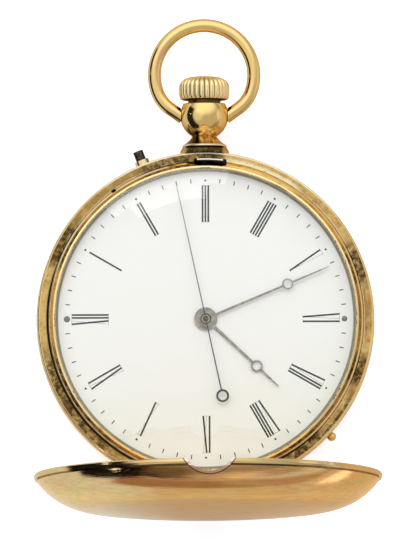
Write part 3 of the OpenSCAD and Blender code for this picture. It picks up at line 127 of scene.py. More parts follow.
def fade(value, start, end):
    """Smooth step of a value, 0 at start and 1 at end."""
    n = put(tree_of(value), "MapRange", interpolation_type="SMOOTHSTEP", i0=value, i1=start, i2=end)
    return n.outputs[0]


def between(value, start, full, waning, gone):
    """0 up to start, 1 from full to waning, and 0 again from gone on."""
    return times(fade(value, start, full), fade(value, gone, waning))


def blend(share, a, b):
    """Mixes two colours, a where the share is 0 and b where it is 1."""
    n = tree_of(share).nodes.new("ShaderNodeMix")
    n.data_type = "RGBA"
    n.id_data.links.new(share, n.inputs["Factor"])
    for name, colour in (("A", a), ("B", b)):
        if isinstance(colour, bpy.types.NodeSocket):
            n.id_data.links.new(colour, n.inputs[name])
        else:
            n.inputs[name].default_value = (*colour, 1)
    return n.outputs["Result"]


def direction(azimuth, elevation=0.0):
    """Unit vector of a compass angle, 0 to the right of the dial and 90 towards the pendant, and
    of an angle over the level, both in degrees."""
    a, e = math.radians(azimuth), math.radians(elevation)
    return math.cos(e) * math.cos(a), math.cos(e) * math.sin(a), math.sin(e)


def cone(cosine, inner, outer):
    """1 where an angle, given by its cosine, is under inner, and 0 where it is over outer."""
    return fade(cosine, math.cos(math.radians(outer)), math.cos(math.radians(inner)))


world = bpy.data.worlds.new("studio")
scene.world = world
world.use_nodes = True
tree = world.node_tree
tree.nodes.clear()
way = put(tree, "TexCoord").outputs["Generated"]
climb = put(tree, "SeparateXYZ", Vector=way).outputs["Z"]
level_way = vectors("NORMALIZE", vectors("MULTIPLY", way, (1, 1, 0)))


def toward(azimuth, start, end):
    """Smooth step of the cosine between the level direction of a ray and a compass angle."""
    return fade(vectors("DOT_PRODUCT", level_way, direction(azimuth)), start, end)


def light_at(azimuth, elevation, inner, outer, power):
    """A round light, of full power in the inner angle about its middle and gone at the outer."""
    cosine = vectors("DOT_PRODUCT", way, direction(azimuth, elevation))
    return times(cone(cosine, inner, outer), power)


doorway = times(toward(-166, 0.63, 0.70), fade(climb, 0.60, 0.50), 0.97)
dark_gap = times(toward(-117, 0.982, 0.995), fade(climb, 0.12, 0.05), 0.95)
cupboard = times(toward(-70, 0.70, 0.86), between(climb, 0.13, 0.19, 0.33, 0.50), 0.85)
post = times(toward(-111, 0.955, 0.985), fade(climb, 0.50, 0.36), 0.90)
skirting = times(toward(-72, 0.80, 0.92), fade(climb, 0.17, 0.12))
brown = highest(cupboard, post, times(skirting, 0.80))
drawn_out = put(tree, "Mapping", Vector=way, Scale=(1.6, 1.6, 22.0)).outputs[0]
shelves = put(tree, "TexNoise", Vector=drawn_out, Scale=1.0, Detail=3.0).outputs[0]
shelf_shade = times(fade(shelves, 0.62, 0.38), fade(climb, 0.42, 0.10), 0.45)
wall_power = 0.62
windows = ((88, 40, 15, 60, 0.80), (3, 4, 12, 30, 0.45), (178, 58, 10, 35, 0.30),
           (-77, 3, 4, 14, 0.50))
small_lights = ((173, 18, 0.8, 2.2, 3.0), (-130, 2.5, 0.6, 1.9, 8.0))
strength = total(times(skirting, 0.36), wall_power, *(light_at(*window) for window in windows))
strength = times(strength, minus(1.0, times(post, 0.55)), minus(1.0, shelf_shade),
                 minus(1.0, highest(doorway, dark_gap)))
strength = total(strength, *(light_at(*light) for light in small_lights))
wall_tone = blend(brown, (1, 1, 1), (0.66, 0.40, 0.28))
room = put(tree, "Background", Color=wall_tone, Strength=strength)
pale = put(tree, "Background", Color=(1, 1, 1, 1), Strength=1.0)
path = put(tree, "LightPath").outputs
seen = highest(path["Is Camera Ray"], path["Is Transmission Ray"])
around = put(tree, "MixShader", i0=seen, i1=room.outputs[0], i2=pale.outputs[0])
put(tree, "OutputWorld", Surface=around.outputs[0])

lamp_at = Vector((-0.15, 0.60, 1.1))
softbox = bpy.data.lights.new("softbox", "AREA")
softbox.shape, softbox.size, softbox.energy = "DISK", 0.7, 4.2
lamp = bpy.data.objects.new("softbox", softbox)
aimed = lamp_at.to_track_quat("Z", "Y").to_matrix().to_4x4()
lamp.matrix_world = Matrix.Translation(lamp_at) @ aimed
lamp.visible_glossy = False
scene.collection.objects.link(lamp)

# Table. A sheet of white paper on a brown bench. The camera sees it white all over, while the gold
# mirrors the bench past the sheet's edges, a dark cloth on the left and a pale card on the right.
# The card glows for mirrored rays, a painted reflection of light, and a painted glow lifts the
# lid's shadow on the sheet where the gold mirrors it.
# From underneath, and for mirrors right under the watch, it isn't there. Its sizes are in metres.
half = 2.5
sheet = bpy.data.meshes.new("table")
corners = [(-half, -half, 0), (half, -half, 0), (half, half, 0), (-half, half, 0)]
sheet.from_pydata(corners, [], [(0, 1, 2, 3)])
table = bpy.data.objects.new("table", sheet)
scene.collection.objects.link(table)
paper = bpy.data.materials.new("paper")
paper.use_nodes = True
tree = paper.node_tree
tree.nodes.clear()
path = put(tree, "LightPath").outputs
by_mirror = path["Is Glossy Ray"]
on_table = put(tree, "TexCoord").outputs["Object"]
table_x, table_y = list(put(tree, "SeparateXYZ", Vector=on_table).outputs)[:2]
aslant = maths("DIVIDE", table_x, maths("ABSOLUTE", table_y))

# The paper, with the light of the wood on its right part, and its left part reaching further down.
left_part = times(fade(aslant, -0.54, -0.62), fade(table_y, -1.20, -1.00))
on_sheet = highest(between(table_y, -0.165, -0.135, 0.26, 0.30), left_part)
wood_light = times(fade(aslant, -0.45, -0.06), by_mirror)
sheet_tone = blend(wood_light, (0.78, 0.83, 0.90), (0.74, 0.60, 0.48))

# The bench: grained wood, plainer on the right and far in front, and pale beyond its right end.
planks = put(tree, "Mapping", Vector=on_table, Scale=(4.0, 42.0, 1.0)).outputs[0]
streaks = put(tree, "TexNoise", Vector=planks, Scale=1.0, Detail=3.0).outputs[0]
wood = put(tree, "ValToRGB", Fac=streaks).outputs[0]
ramp = wood.node.color_ramp.elements
ramp[0].position, ramp[0].color = 0.36, (0.24, 0.11, 0.07, 1)
ramp[1].position, ramp[1].color = 0.64, (0.56, 0.36, 0.26, 1)
bench_tone = blend(fade(table_x, 0.00, 0.05), wood, (0.54, 0.38, 0.28))
bench_tone = blend(fade(table_y, -0.40, -0.75), bench_tone, (0.66, 0.46, 0.36))
bench_tone = blend(fade(table_x, 0.16, 0.24), bench_tone, (0.80, 0.78, 0.72))

# The cloth begins where the distance from a point under the lid, times a nearness that grows as
# the way there turns to the left, is more than 1.
from_lid = vectors("SUBTRACT", on_table, (-0.015, -0.023, 0.0))
distance = vectors("LENGTH", from_lid)
leftness = maths("DIVIDE", vectors("DOT_PRODUCT", from_lid, direction(-163)), distance)
nearest = total(6.3, times(fade(leftness, 0.93, 0.88), 1.7))
nearness = maths("MINIMUM", minus(times(leftness, 32.5), 20.3), nearest)
on_cloth = fade(times(distance, nearness), 0.93, 1.07)
bench_tone = blend(on_cloth, bench_tone, (0.012, 0.010, 0.008))

bench = highest(times(by_mirror, minus(1.0, on_sheet)), times(by_mirror, on_cloth))
ground = put(tree, "BsdfDiffuse", Color=blend(bench, sheet_tone, bench_tone))
# The pale card on the right glows for mirrored rays: a painted reflection of light in the gold.
card_glow = fade(vectors("DISTANCE", on_table, (0.086, -0.095, 0.0)), 0.031, 0.014)
# Painted light: for mirrored rays, a faint glow fills the lid's shadow on the sheet in front of it.
lid_shadow_fill = times(between(table_y, -0.095, -0.060, -0.030, -0.020),
               fade(maths("ABSOLUTE", table_x), 0.05, 0.03))
whiteness = total(times(path["Is Camera Ray"], 0.60), times(by_mirror, lid_shadow_fill, 0.16),
                  times(by_mirror, card_glow, 0.80))
white = blend(by_mirror, (1, 1, 1), (1.0, 0.92, 0.82))
glow = put(tree, "Emission", Color=white, Strength=whiteness)
lit = put(tree, "AddShader", i0=ground.outputs[0], i1=glow.outputs[0])
under_watch = times(by_mirror, fade(vectors("LENGTH", on_table), 0.0260, 0.0235))
unseen = highest(put(tree, "NewGeometry").outputs["Backfacing"], under_watch)
clear = put(tree, "BsdfTransparent")
hidden = put(tree, "MixShader", i0=unseen, i1=lit.outputs[0], i2=clear.outputs[0])
put(tree, "OutputMaterial", Surface=hidden.outputs[0])
sheet.materials.append(paper)


# Case metal. Every gold piece is the same alloy, worn by a century of pockets: fine hairlines,
# soft dents, a colour that wanders a little, and brown tarnish where no cloth ever reaches.
def shader_group(name, inputs, outputs):
    """Empty node group with named sockets. inputs maps a name to its socket type and default.
    Returns the group, its inputs as sockets to link from, and its output node."""
    group = bpy.data.node_groups.new(name, "ShaderNodeTree")
    for key, (kind, value) in inputs.items():
        made = group.interface.new_socket(key, in_out="INPUT", socket_type="NodeSocket" + kind)
        made.default_value = value
    for key, kind in outputs.items():
        group.interface.new_socket(key, in_out="OUTPUT", socket_type="NodeSocket" + kind)
    return group, group.nodes.new("NodeGroupInput").outputs, group.nodes.new("NodeGroupOutput")


def noise(tree, size, detail=3.0, stretch=(1, 1, 1), rough=0.5):
    """Noise whose features are about size millimetres, drawn out along an axis by stretch."""
    where = put(tree, "TexCoord").outputs["Object"]
    scale = tuple(1 / MM / (size * s) for s in stretch)
    where = put(tree, "Mapping", Vector=where, Scale=scale).outputs[0]
    return put(tree, "TexNoise", Vector=where, Scale=1.0, Detail=detail, Roughness=rough).outputs[0]


wear, knobs, results = shader_group(
    "pocket_wear",
    {"Gold": ("Color", (0.83, 0.61, 0.235, 1)), "Warm": ("Color", (0.84, 0.55, 0.24, 1)),
     "Grime": ("Color", (0.10, 0.065, 0.025, 1)), "Grime Amount": ("Float", 0.1),
     "Shine": ("Float", 0.14)},
    {"Color": "Color", "Roughness": "Float", "Height": "Float"})
hair = noise(wear, 0.09, 2.0, (9, 1, 1))
cross_hair = noise(wear, 0.12, 2.0, (1, 1, 7))
dents = noise(wear, 1.6, 1.0)
alloy = blend(fade(noise(wear, 6.0, 2.0), 0.35, 0.70), knobs["Gold"], knobs["Warm"])
edge = minus(0.78, times(knobs["Grime Amount"], 0.45))
dirt = fade(noise(wear, 2.2, 6.0, rough=0.7), edge, total(edge, 0.12))
fill(results, Color=blend(times(dirt, 0.75), alloy, knobs["Grime"]),
     Roughness=total(knobs["Shine"], times(fade(hair, 0.5, 0.75), 0.10), times(dirt, 0.35)),
     Height=total(times(hair, 0.5), times(cross_hair, 0.4), times(dents, 6.0)))
gold_tint = (0.80, 0.62, 0.36, 1)


def principled(name, metallic, rough=0.3, **inputs):
    """New material. Returns it with its tree and its filled Principled shader."""
    m = bpy.data.materials.new(name)
    m.use_nodes = True
    shader = m.node_tree.nodes["Principled BSDF"]
    return m, m.node_tree, fill(shader, Metallic=metallic, Roughness=rough, **inputs)


def relief(shader, height, depth):
    """Bump from a height of 0 to 1, depth in millimetres."""
    bump = put(shader.id_data, "Bump", Strength=1.0, Distance=depth * MM, Height=height)
    fill(shader, Normal=bump.outputs[0])


def worn_gold(tree, **amounts):
    """The colour, roughness and height of case metal with its own amounts of wear and grime."""
    n = put(tree, "Group", node_tree=wear, **amounts)
    return [n.outputs[key] for key in ("Color", "Roughness", "Height")]


def plain_gold(name, depth, **amounts):
    """Material of case metal with nothing more on it."""
    m, tree, shader = principled(name, 1.0, Specular_Tint=gold_tint)
    colour, rough, height = worn_gold(tree, **amounts)
    fill(shader, Base_Color=colour, Roughness=rough)
    relief(shader, height, depth)
    return m


def dress(material, *names):
    """Gives CAD nodes a material."""
    for name in names:
        cad[name].data.materials.clear()
        cad[name].data.materials.append(material)


# Case middle. The band with the flat seat that the lid shuts on. The seat never gets rubbed
# clean: it is brown and mottled, and black with old dirt in its inner corner and in patches.
# Painted
# light on it: a pale groove by the bezel, a highlight along its rim, and shade in the catch's slot
# and in a thumbnail notch.
Spot = namedtuple("Spot", "x y z radius")
grubby_side = (235, 60, 86)
slot_left, slot_right = -1.64, 3.28


def flat_length(a, b):
    """Square root of the sum of the squares of two numbers."""
    return vectors("LENGTH", put(tree_of(a), "CombineXYZ", X=a, Y=b).outputs[0])


def spot_of(tree):
    """The shaded place on the watch in millimetres, with its distance from the watch's middle."""
    place = put(tree, "SeparateXYZ", Vector=put(tree, "TexCoord").outputs["Object"])
    x, y, z = (times(place.outputs[k], 1 / MM) for k in "XYZ")
    return Spot(x, y, z, flat_length(x, y))


def sector(spot, azimuth, inner, outer):
    """1 within the inner angle of a compass angle, 0 past the outer, seen from the middle."""
    east, north, _ = direction(azimuth)
    there = total(times(spot.x, east), times(spot.y, north))
    return cone(maths("DIVIDE", there, spot.radius), inner, outer)


def thumbnail_notch_shade(spot):
    """Painted shade of the small notch for a thumbnail between bezel and seat, at the upper left.
    """
    return times(sector(spot, 125.3, 0.7, 0.95), between(spot.radius, 22.98, 23.04, 23.46, 23.52))


def near_slot(spot, soft):
    """1 about the slot of the lid's catch, behind the pendant."""
    across = between(spot.x, slot_left, slot_left + soft, slot_right - soft, slot_right)
    return times(across, fade(spot.y, 22.0, 22.4))


seat_gold, tree, shader = principled("case_seat", 1.0, Specular_Tint=gold_tint)
spot = spot_of(tree)
radius = spot.radius
top_face = times(fade(spot.z, seat - 0.5, seat - 0.3), fade(radius, 23.0, 23.2))
on_seat = times(top_face, fade(radius, 24.60, 24.42))
grubby = sector(spot, *grubby_side)
inner_corner = times(top_face, fade(radius, 23.60, 23.40), grubby, 0.90)
outer_patch = times(sector(spot, -39, 7, 14), fade(radius, 23.85, 24.20))
patches = ((-54, 6, 12), (98, 10, 19), (20, 4, 10), (152, 4, 12), (213, 12, 30), (-19, 3, 7))
old = highest(outer_patch, *(sector(spot, *patch) for patch in patches))
blotches = fade(noise(tree, 0.7, 6.0, rough=0.75), 0.68, 0.40)
crumbs = fade(noise(tree, 0.5, 4.0, rough=0.7), 0.56, 0.66)
# Old dirt in patches and the corner, crumbs, and the notch's painted shade.
stain_and_notch_shade = highest(times(old, blotches, 0.92), inner_corner, times(crumbs, 0.4), thumbnail_notch_shade(spot))
lighter = total(times(sector(spot, 42, 8, 40), 0.06), times(sector(spot, 183, 5, 26), 0.11),
                times(sector(spot, 77, 2, 7), 0.10))
duller = total(times(sector(spot, 135, 8, 30), 0.10),
               times(sector(spot, 2, 3, 12), fade(radius, 23.9, 23.6), 0.12))
mottle = total(noise(tree, 1.6, 6.0, rough=0.72), minus(lighter, duller))
tone = blend(fade(mottle, 0.36, 0.66), (0.40, 0.245, 0.07), (0.72, 0.49, 0.18))
# Painted light: the groove by the bezel, dark in its own shade, is painted pale outside the grubby
# side.
groove_painted_light = times(top_face, between(radius, 23.14, 23.20, 23.42, 23.52), minus(1.0, grubby))
tone = blend(times(groove_painted_light, 0.85), tone, (1.0, 0.88, 0.58))
polished = times(sector(spot, 69, 8, 19), fade(radius, 24.10, 23.70), top_face, 0.85)
tone = blend(polished, tone, (1.0, 0.88, 0.52))
tone = blend(times(stain_and_notch_shade, on_seat), tone, (0.040, 0.024, 0.010))
colour, rough, height = worn_gold(tree, Grime_Amount=0.05, Shine=0.16, Gold=(0.90, 0.72, 0.38, 1))
tone = blend(on_seat, colour, tone)
# Painted highlight: a pale stretch along the seat's outer rim, on the side towards the pendant.
rim_highlight = times(top_face, fade(radius, 24.36, 24.46), sector(spot, 85, 30, 52), 0.75)
tone = blend(rim_highlight, tone, (1.0, 0.92, 0.68))
# Painted shade: the walls of the slot for the lid's catch are painted near black.
slot_shade = times(near_slot(spot, 0.06), fade(radius, 23.86, 23.81),
                fade(spot.z, seat - 0.01, seat - 0.06))
dull = times(on_seat, total(0.10, times(stain_and_notch_shade, 0.25)))
fill(shader, Base_Color=blend(slot_shade, tone, (0.006, 0.005, 0.004)),
     Roughness=total(rough, dull, times(groove_painted_light, 0.25)))
relief(shader, total(height, times(on_seat, crumbs, 4.0)), 0.0015)
dress(seat_gold, "case_middle")

# Covers, hinges and cuvette. Spun gold shells. The outsides were brushed crosswise, and wear has
# left paler and redder streaks along the brush lines; the cuvette inside is still clean.
open_angle, hinge_y, stem_drop = math.radians(86), -25.2, 2.1
cover_gold, tree, shader = principled("cover_gold", 1.0, Specular_Tint=(0.95, 0.83, 0.63, 1))
colour, rough, height = worn_gold(tree, Grime_Amount=0.04, Shine=0.06)
brush = noise(tree, 0.35, 4.0, (26, 1, 6), 0.65)
bands = noise(tree, 1.6, 4.0, (9, 1, 2), 0.65)
scratches = noise(tree, 0.13, 4.0, (40, 1, 10), 0.7)
tone = blend(times(fade(brush, 0.42, 0.66), 0.60), colour, (0.78, 0.67, 0.44))
tone = blend(times(fade(scratches, 0.54, 0.38), 0.50), tone, (0.50, 0.36, 0.16))
tone = blend(times(fade(bands, 0.50, 0.66), 0.50), tone, (0.80, 0.47, 0.23))
tone = blend(times(fade(bands, 0.47, 0.32), 0.40), tone, (0.55, 0.47, 0.22))

# On the standing lid, old dirt along the seam over its lip, and a painted highlight on the notch's
# rim with a dark line round it. shut_y, lift and shut_radius are where a point of it lies when the
# lid is shut: along the watch, over the seat, and out from the middle.
spot = spot_of(tree)
back, rise = minus(spot.y, hinge_y), minus(spot.z, seat)
lift = minus(times(rise, math.cos(open_angle)), times(back, math.sin(open_angle)))
shut_y = total(times(back, math.cos(open_angle)), times(rise, math.sin(open_angle)), hinge_y)
shut_radius = flat_length(spot.x, shut_y)
seam = times(between(lift, 0.76, 0.82, 0.98, 1.04), fade(shut_radius, 24.98, 24.88),
             fade(shut_y, -20.0, -18.0))
seam_dirt = minus(0.95, times(fade(maths("ABSOLUTE", spot.x), 10.0, 20.0), 0.40))
tone = blend(times(seam, seam_dirt), tone, (0.07, 0.035, 0.010))
from_stem = flat_length(spot.x, total(lift, stem_drop))
by_pendant = fade(shut_y, 20.0, 22.0)
notch_line = times(by_pendant, between(from_stem, 4.14, 4.22, 4.30, 4.42), 0.75)
tone = blend(notch_line, tone, (0.12, 0.055, 0.025))
# Painted highlight: the lid's rim about the notch is painted pale.
tone = blend(times(by_pendant, fade(from_stem, 4.22, 4.14)), tone, (0.97, 0.78, 0.64))
fill(shader, Base_Color=tone, Roughness=total(rough, times(fade(brush, 0.4, 0.7), 0.07)))
relief(shader, total(height, times(brush, 10.0), times(scratches, 3.0)), 0.0012)
dress(cover_gold, "front_lid", "back_cover", "front_hinge_pin", "back_hinge_pin",
      "cuvette_hinge_pin")
dress(plain_gold("inner_cover_gold", 0.0006, Grime_Amount=0.02, Shine=0.10), "cuvette")

# Bezel. A thin gold ring that holds the crystal, with a painted highlight on its flank, painted
# shade along the glass on its inside and brown dirt at its foot where it meets the seat.
bezel_gold, tree, shader = principled("bezel_gold", 1.0, Specular_Tint=gold_tint)
spot = spot_of(tree)
colour, rough, height = worn_gold(tree, Grime_Amount=0.0, Shine=0.10, Gold=(0.90, 0.74, 0.42, 1),
                                  Warm=(0.88, 0.68, 0.37, 1))
ragged_radius = total(spot.radius, times(minus(noise(tree, 1.2, 4.0), 0.5), 0.25))
# Painted shade: a dark line along the glass on the bezel's inside.
glass_edge_shade = times(fade(ragged_radius, 22.24, 22.08), 0.80)
foot_share = total(0.10, times(sector(spot, *grubby_side), 0.78))
at_foot = times(fade(ragged_radius, 22.95, 23.10), foot_share)
# Painted highlight: a pale band on the bezel's flank.
flank_highlight = times(between(spot.radius, 22.50, 22.64, 22.92, 23.02), 0.65)
tone = blend(flank_highlight, colour, (0.90, 0.80, 0.56))
tone = blend(glass_edge_shade, tone, (0.16, 0.13, 0.06))
tone = blend(at_foot, tone, (0.13, 0.065, 0.018))
# The thumbnail notch's painted shade, and the bezel painted dark beside the slot.
by_slot = times(near_slot(spot, 0.12), fade(spot.radius, 22.78, 22.88))
fill(shader, Base_Color=blend(highest(thumbnail_notch_shade(spot), by_slot), tone, (0.02, 0.012, 0.006)),
     Roughness=total(rough, times(highest(glass_edge_shade, at_foot), 0.25)))
relief(shader, height, 0.0010)
dress(bezel_gold, "bezel")

# Bow. A drawn gold wire bent to a ring, rubbed smooth by its chain. Its two ends sit in the
# cheeks of the pendant, where it swings.
dress(plain_gold("bow_gold", 0.0008, Grime_Amount=0.05, Shine=0.10), "bow")

# Pendant. Turned in one piece, bright on the ball and neck, with painted streaks of reflection and
# a painted dark reflection on the neck's left side, a painted highlight on the lip, painted shade
# under it, and black with old dirt and painted shade on the hump at its foot, which the lid's notch
# covers, and round the crown's sleeve.
pendant_gold, tree, shader = principled("pendant_gold", 1.0, Specular_Tint=gold_tint)
spot = spot_of(tree)
along, aside = spot.y, maths("ABSOLUTE", spot.x)
colour, rough, height = worn_gold(tree, Grime_Amount=0.15, Shine=0.12, Warm=(0.84, 0.53, 0.20, 1))
hump = times(fade(along, 25.66, 25.58), minus(1.0, times(fade(aside, 2.3, 3.1), 0.75)))
flecks = fade(noise(tree, 0.45, 6.0, rough=0.75), 0.48, 0.72)
# Old dirt and painted shade on the hump and round the crown's sleeve.
dirt_and_shade = times(highest(hump, fade(along, 31.80, 31.95)),
              minus(1.0, times(flecks, fade(along, 25.50, 25.30), 0.45)))
# Painted highlight: a pale line along the lip.
lip_highlight = between(along, 25.60, 25.68, 25.88, 25.98)
# Painted shade: nearly black just under the lip.
under_lip_shade = times(between(along, 25.22, 25.36, 25.56, 25.62), fade(aside, 3.0, 2.5))
neck = between(along, 25.85, 26.0, 27.3, 29.0)
# Painted reflection: bright and dark streaks along the neck.
reflection_streaks = fade(noise(tree, 0.55, 3.0, (1, 7, 1), 0.6), 0.40, 0.60)
tone = blend(times(neck, 0.75), colour, blend(reflection_streaks, (0.50, 0.22, 0.05), (0.98, 0.78, 0.40)))
# Painted reflection: the neck's left side is painted dark.
tone = blend(times(neck, fade(spot.x, -0.75, -1.15), 0.80), tone, (0.10, 0.06, 0.02))
tone = blend(lip_highlight, tone, (0.98, 0.92, 0.76))
tone = blend(times(dirt_and_shade, 0.95), tone, (0.030, 0.022, 0.010))
fill(shader, Base_Color=blend(under_lip_shade, tone, (0.006, 0.004, 0.002)),
     Roughness=total(rough, times(dirt_and_shade, 0.45), times(lip_highlight, 0.25)))
relief(shader, height, 0.0012)
dress(pendant_gold, "pendant")


# Crown. A gold cap with 28 round flutes that run over its shoulder, so that a thumb can wind
# the watch. Dirt sits in the grooves, and its underside is dark with dirt and painted shade. It
# screws on the stem and its sleeve runs in the pendant.
def surface(name, points, quads, sharp=35):
    """Mesh object from an array of points in millimetres and an array of faces, smooth but for
    edges sharper than an angle in degrees."""
    mesh = bpy.data.meshes.new(name)
    mesh.from_pydata((np.asarray(points) * MM).tolist(), [], np.asarray(quads).tolist())
    mesh.validate()
    mesh.shade_smooth()
    mesh.set_sharp_from_angle(angle=math.radians(sharp))
    made = bpy.data.objects.new(name, mesh)
    scene.collection.objects.link(made)
    return made


def grid_faces(rows, columns):
    """Quads of a grid of points whose columns close round on themselves."""
    row = np.arange(rows - 1)[:, None] * columns
    here = np.arange(columns)[None, :]
    after = (here + 1) % columns
    quads = [row + here, row + after, row + columns + after, row + columns + here]
    return np.stack(quads, 2).reshape(-1, 4)


def sealed(made):
    """Merges the points that meet at the poles, shuts open feet, and turns all faces outwards."""
    bm = bmesh.new()
    bm.from_mesh(made.data)
    bmesh.ops.remove_doubles(bm, verts=bm.verts, dist=1e-8)
    bmesh.ops.holes_fill(bm, edges=bm.edges, sides=0)
    bmesh.ops.recalc_face_normals(bm, faces=bm.faces)
    bm.to_mesh(made.data)
    bm.free()
    return made


flutes, points_per_flute, flute_depth = 28, 14, 0.30
crown_y, crown_tall, crown_wide, shoulder = 32.5, 3.5, 3.73, 1.9
sleeve, flat_top = 2.38, 1.5
skirt = np.array([(0, -1.2), (1.2, -1.2), (sleeve, -1.2), (sleeve, -0.6), (sleeve, 0.0), (2.9, 0.0),
                  (3.25, 0.02), (3.46, 0.10), (3.58, 0.24), (3.66, 0.45), (3.71, 0.75), (3.73, 1.1),
                  (3.735, 1.5)])
turn = np.linspace(0, 90, 30) * np.pi / 180
cap = np.stack([flat_top + (crown_wide - flat_top) * np.cos(turn),
                shoulder + (crown_tall - 0.06 - shoulder) * np.sin(turn)], 1)
peak = np.array([(1.1, crown_tall - 0.03), (0.6, crown_tall - 0.01), (0, crown_tall)])
outline = np.concatenate([skirt, cap, peak])
out, up = outline[:, 0], outline[:, 1]
slope = np.gradient(outline, axis=0)
slope /= np.linalg.norm(slope, axis=1)[:, None]
fluted = np.clip((out - flat_top) / 1.3, 0, 1) * np.clip((up - 0.02) / 0.22, 0, 1)
angle = np.arange(flutes * points_per_flute) * 2 * np.pi / (flutes * points_per_flute)
across = 2 * ((angle * flutes / (2 * np.pi)) % 1.0) - 1
sunk = fluted[:, None] * (1 - (1 - across ** 2) ** 0.5)[None, :]
r = out[:, None] - flute_depth * sunk * slope[:, 1, None]
h = up[:, None] + flute_depth * sunk * slope[:, 0, None]
points = np.stack([r * np.cos(angle), crown_y + h, seat - stem_drop + r * np.sin(angle)], 2)
crown = surface("fluted_crown", points.reshape(-1, 3), grid_faces(len(outline), len(angle)), 50)
groove = crown.data.attributes.new("groove", "FLOAT", "POINT")
# The underside is marked for dark dirt and painted shade.
underside_dirt_and_shade = 1.5 * (up < 0.06)[:, None]
groove.data.foreach_set("value", (sunk + underside_dirt_and_shade).reshape(-1).clip(0, 1.5))
sealed(crown)
crown_gold, tree, shader = principled("crown_gold", 1.0, Specular_Tint=gold_tint)
packed = put(tree, "Attribute", attribute_name="groove").outputs["Fac"]
colour, rough, height = worn_gold(tree, Grime_Amount=0.12, Shine=0.13, Gold=(0.92, 0.76, 0.42, 1),
                                  Warm=(0.90, 0.68, 0.36, 1))
dirt_and_shade = total(times(fade(packed, 0.45, 1.0), 0.78), times(fade(packed, 1.1, 1.4), 0.20))
fill(shader, Base_Color=blend(dirt_and_shade, colour, (0.11, 0.060, 0.016)),
     Roughness=total(rough, times(dirt_and_shade, 0.25)))
relief(shader, height, 0.0012)
crown.data.materials.append(crown_gold)
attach(crown, "crown_and_stem")
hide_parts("crown")

# Crystal. Thin domed glass, sprung into the bezel. The lamp shines through it on the dial, because
# rays for shadows and for soft light pass it.
glass, tree, shader = principled("crystal_glass", 0.0, 0.0, Base_Color=(1, 1, 1, 1), IOR=1.46,
                                 Transmission_Weight=1.0, Specular_IOR_Level=0.08)
path = put(tree, "LightPath").outputs
passing = highest(path["Is Shadow Ray"], path["Is Diffuse Ray"])
clear = put(tree, "BsdfTransparent")
through = put(tree, "MixShader", i0=passing, i1=shader.outputs[0], i2=clear.outputs[0])
fill(tree.nodes["Material Output"], Surface=through.outputs[0])
dress(glass, "crystal")

# Dial. White enamel fired on copper: glossy, a little wavy, painted creamier towards the lower edge
# as the standing lid's gold light, with a few brown specks in the glaze and a painted shadow line
# under the bezel.
enamel, tree, shader = principled("white_enamel", 0.0, 0.16, Coat_Weight=0.3, Coat_Roughness=0.05)
spot = spot_of(tree)
# Painted light: the gold light thrown by the standing lid, tinting the lower dial.
lid_light_tint = times(fade(spot.y, 6.0, -26.0), fade(noise(tree, 14.0, 2.0), 0.2, 0.6), 0.9)
tone = blend(lid_light_tint, (0.855, 0.875, 0.86), (0.835, 0.865, 0.785))
place = put(tree, "TexCoord").outputs["Object"]
cells = put(tree, "TexVoronoi", Vector=place, Scale=260.0).outputs
rare = fade(put(tree, "SeparateXYZ", Vector=cells["Color"]).outputs["X"], 0.90, 0.91)
specks = times(fade(cells["Distance"], 0.022, 0.012), rare, 0.6)
tone = blend(specks, tone, (0.30, 0.22, 0.12))
# Painted shadow: a dark line round the dial's edge under the bezel.
rim_shadow = times(fade(spot.radius, 21.66, 21.80), 0.90)
fill(shader, Base_Color=blend(rim_shadow, tone, (0.17, 0.14, 0.05)))
relief(shader, noise(tree, 5.0, 1.0), 0.01)
dress(enamel, "dial")


# Dial paint. Black Roman numerals with their feet to the centre, minute strokes and dots, laid
# on the enamel by hand in fired paint, so they stand a hair proud of it. XII lies at the left.
def glaze(radius):
    """Height of the enamel at a radius: the same shallow dome as the dial, 0.45 mm over the seat
    in the middle and falling with the square of the radius."""
    return seat + 0.45 - radius * radius / 2476.0


def strokes(name, ends, widths, thick=0.018):
    """One mesh of straight brush strokes. Each runs between two points on the dial, is as wide as
    given at both ends, follows the dome in four steps, and has a flat top and its foot in the
    glaze."""
    ends, widths, steps = np.asarray(ends, float), np.asarray(widths, float), 5
    t = np.linspace(0, 1, steps)[None, :, None]
    middle = ends[:, 0, None, :] * (1 - t) + ends[:, 1, None, :] * t
    run = ends[:, 1] - ends[:, 0]
    side = np.stack([-run[:, 1], run[:, 0]], 1) / np.linalg.norm(run, axis=1)[:, None]
    half_width = (widths[:, 0, None, None] * (1 - t) + widths[:, 1, None, None] * t) / 2
    rows = np.stack([middle + k * half_width * side[:, None, :] for k in (-1, -0.86, 0.86, 1)], 2)
    level = glaze(np.linalg.norm(rows, axis=3)) + thick * np.array([-0.5, 1.0, 1.0, -0.5])
    points = np.concatenate([rows, level[..., None]], 3).reshape(-1, 3)
    first = np.arange(len(ends))[:, None, None] * steps * 4
    row = first + np.arange(steps - 1)[None, :, None] * 4
    corner = (row + np.arange(3)[None, None, :]).reshape(-1)
    top = np.stack([corner, corner + 4, corner + 5, corner + 1], 1)
    start = first[:, :, 0] + np.arange(4)
    end = start[:, ::-1] + (steps - 1) * 4
    row = row.reshape(-1)
    under = np.stack([row, row + 3, row + 7, row + 4], 1)
    return surface(name, points, np.concatenate([top, start, end, under]))


def on_dial(turn, aside, radius):
    """Point at a radius on the ray of a turn counted from XII, moved clockwise by aside. The dial
    sits 0.2 degrees round in its case."""
    a = np.radians(270.0 + 360.0 * turn + 0.2)
    outward, clockwise = np.array([np.sin(a), np.cos(a)]), np.array([np.cos(a), -np.sin(a)])
    return outward * radius + clockwise * aside


numeral_foot, numeral_top, thick, hairline, serif = 14.3, 19.7, 0.27, 0.035, 0.2


def upright(c):
    """The stroke of an I, c aside of the numeral's middle: where its foot and top are, and its
    width."""
    return [(c, c, thick)]


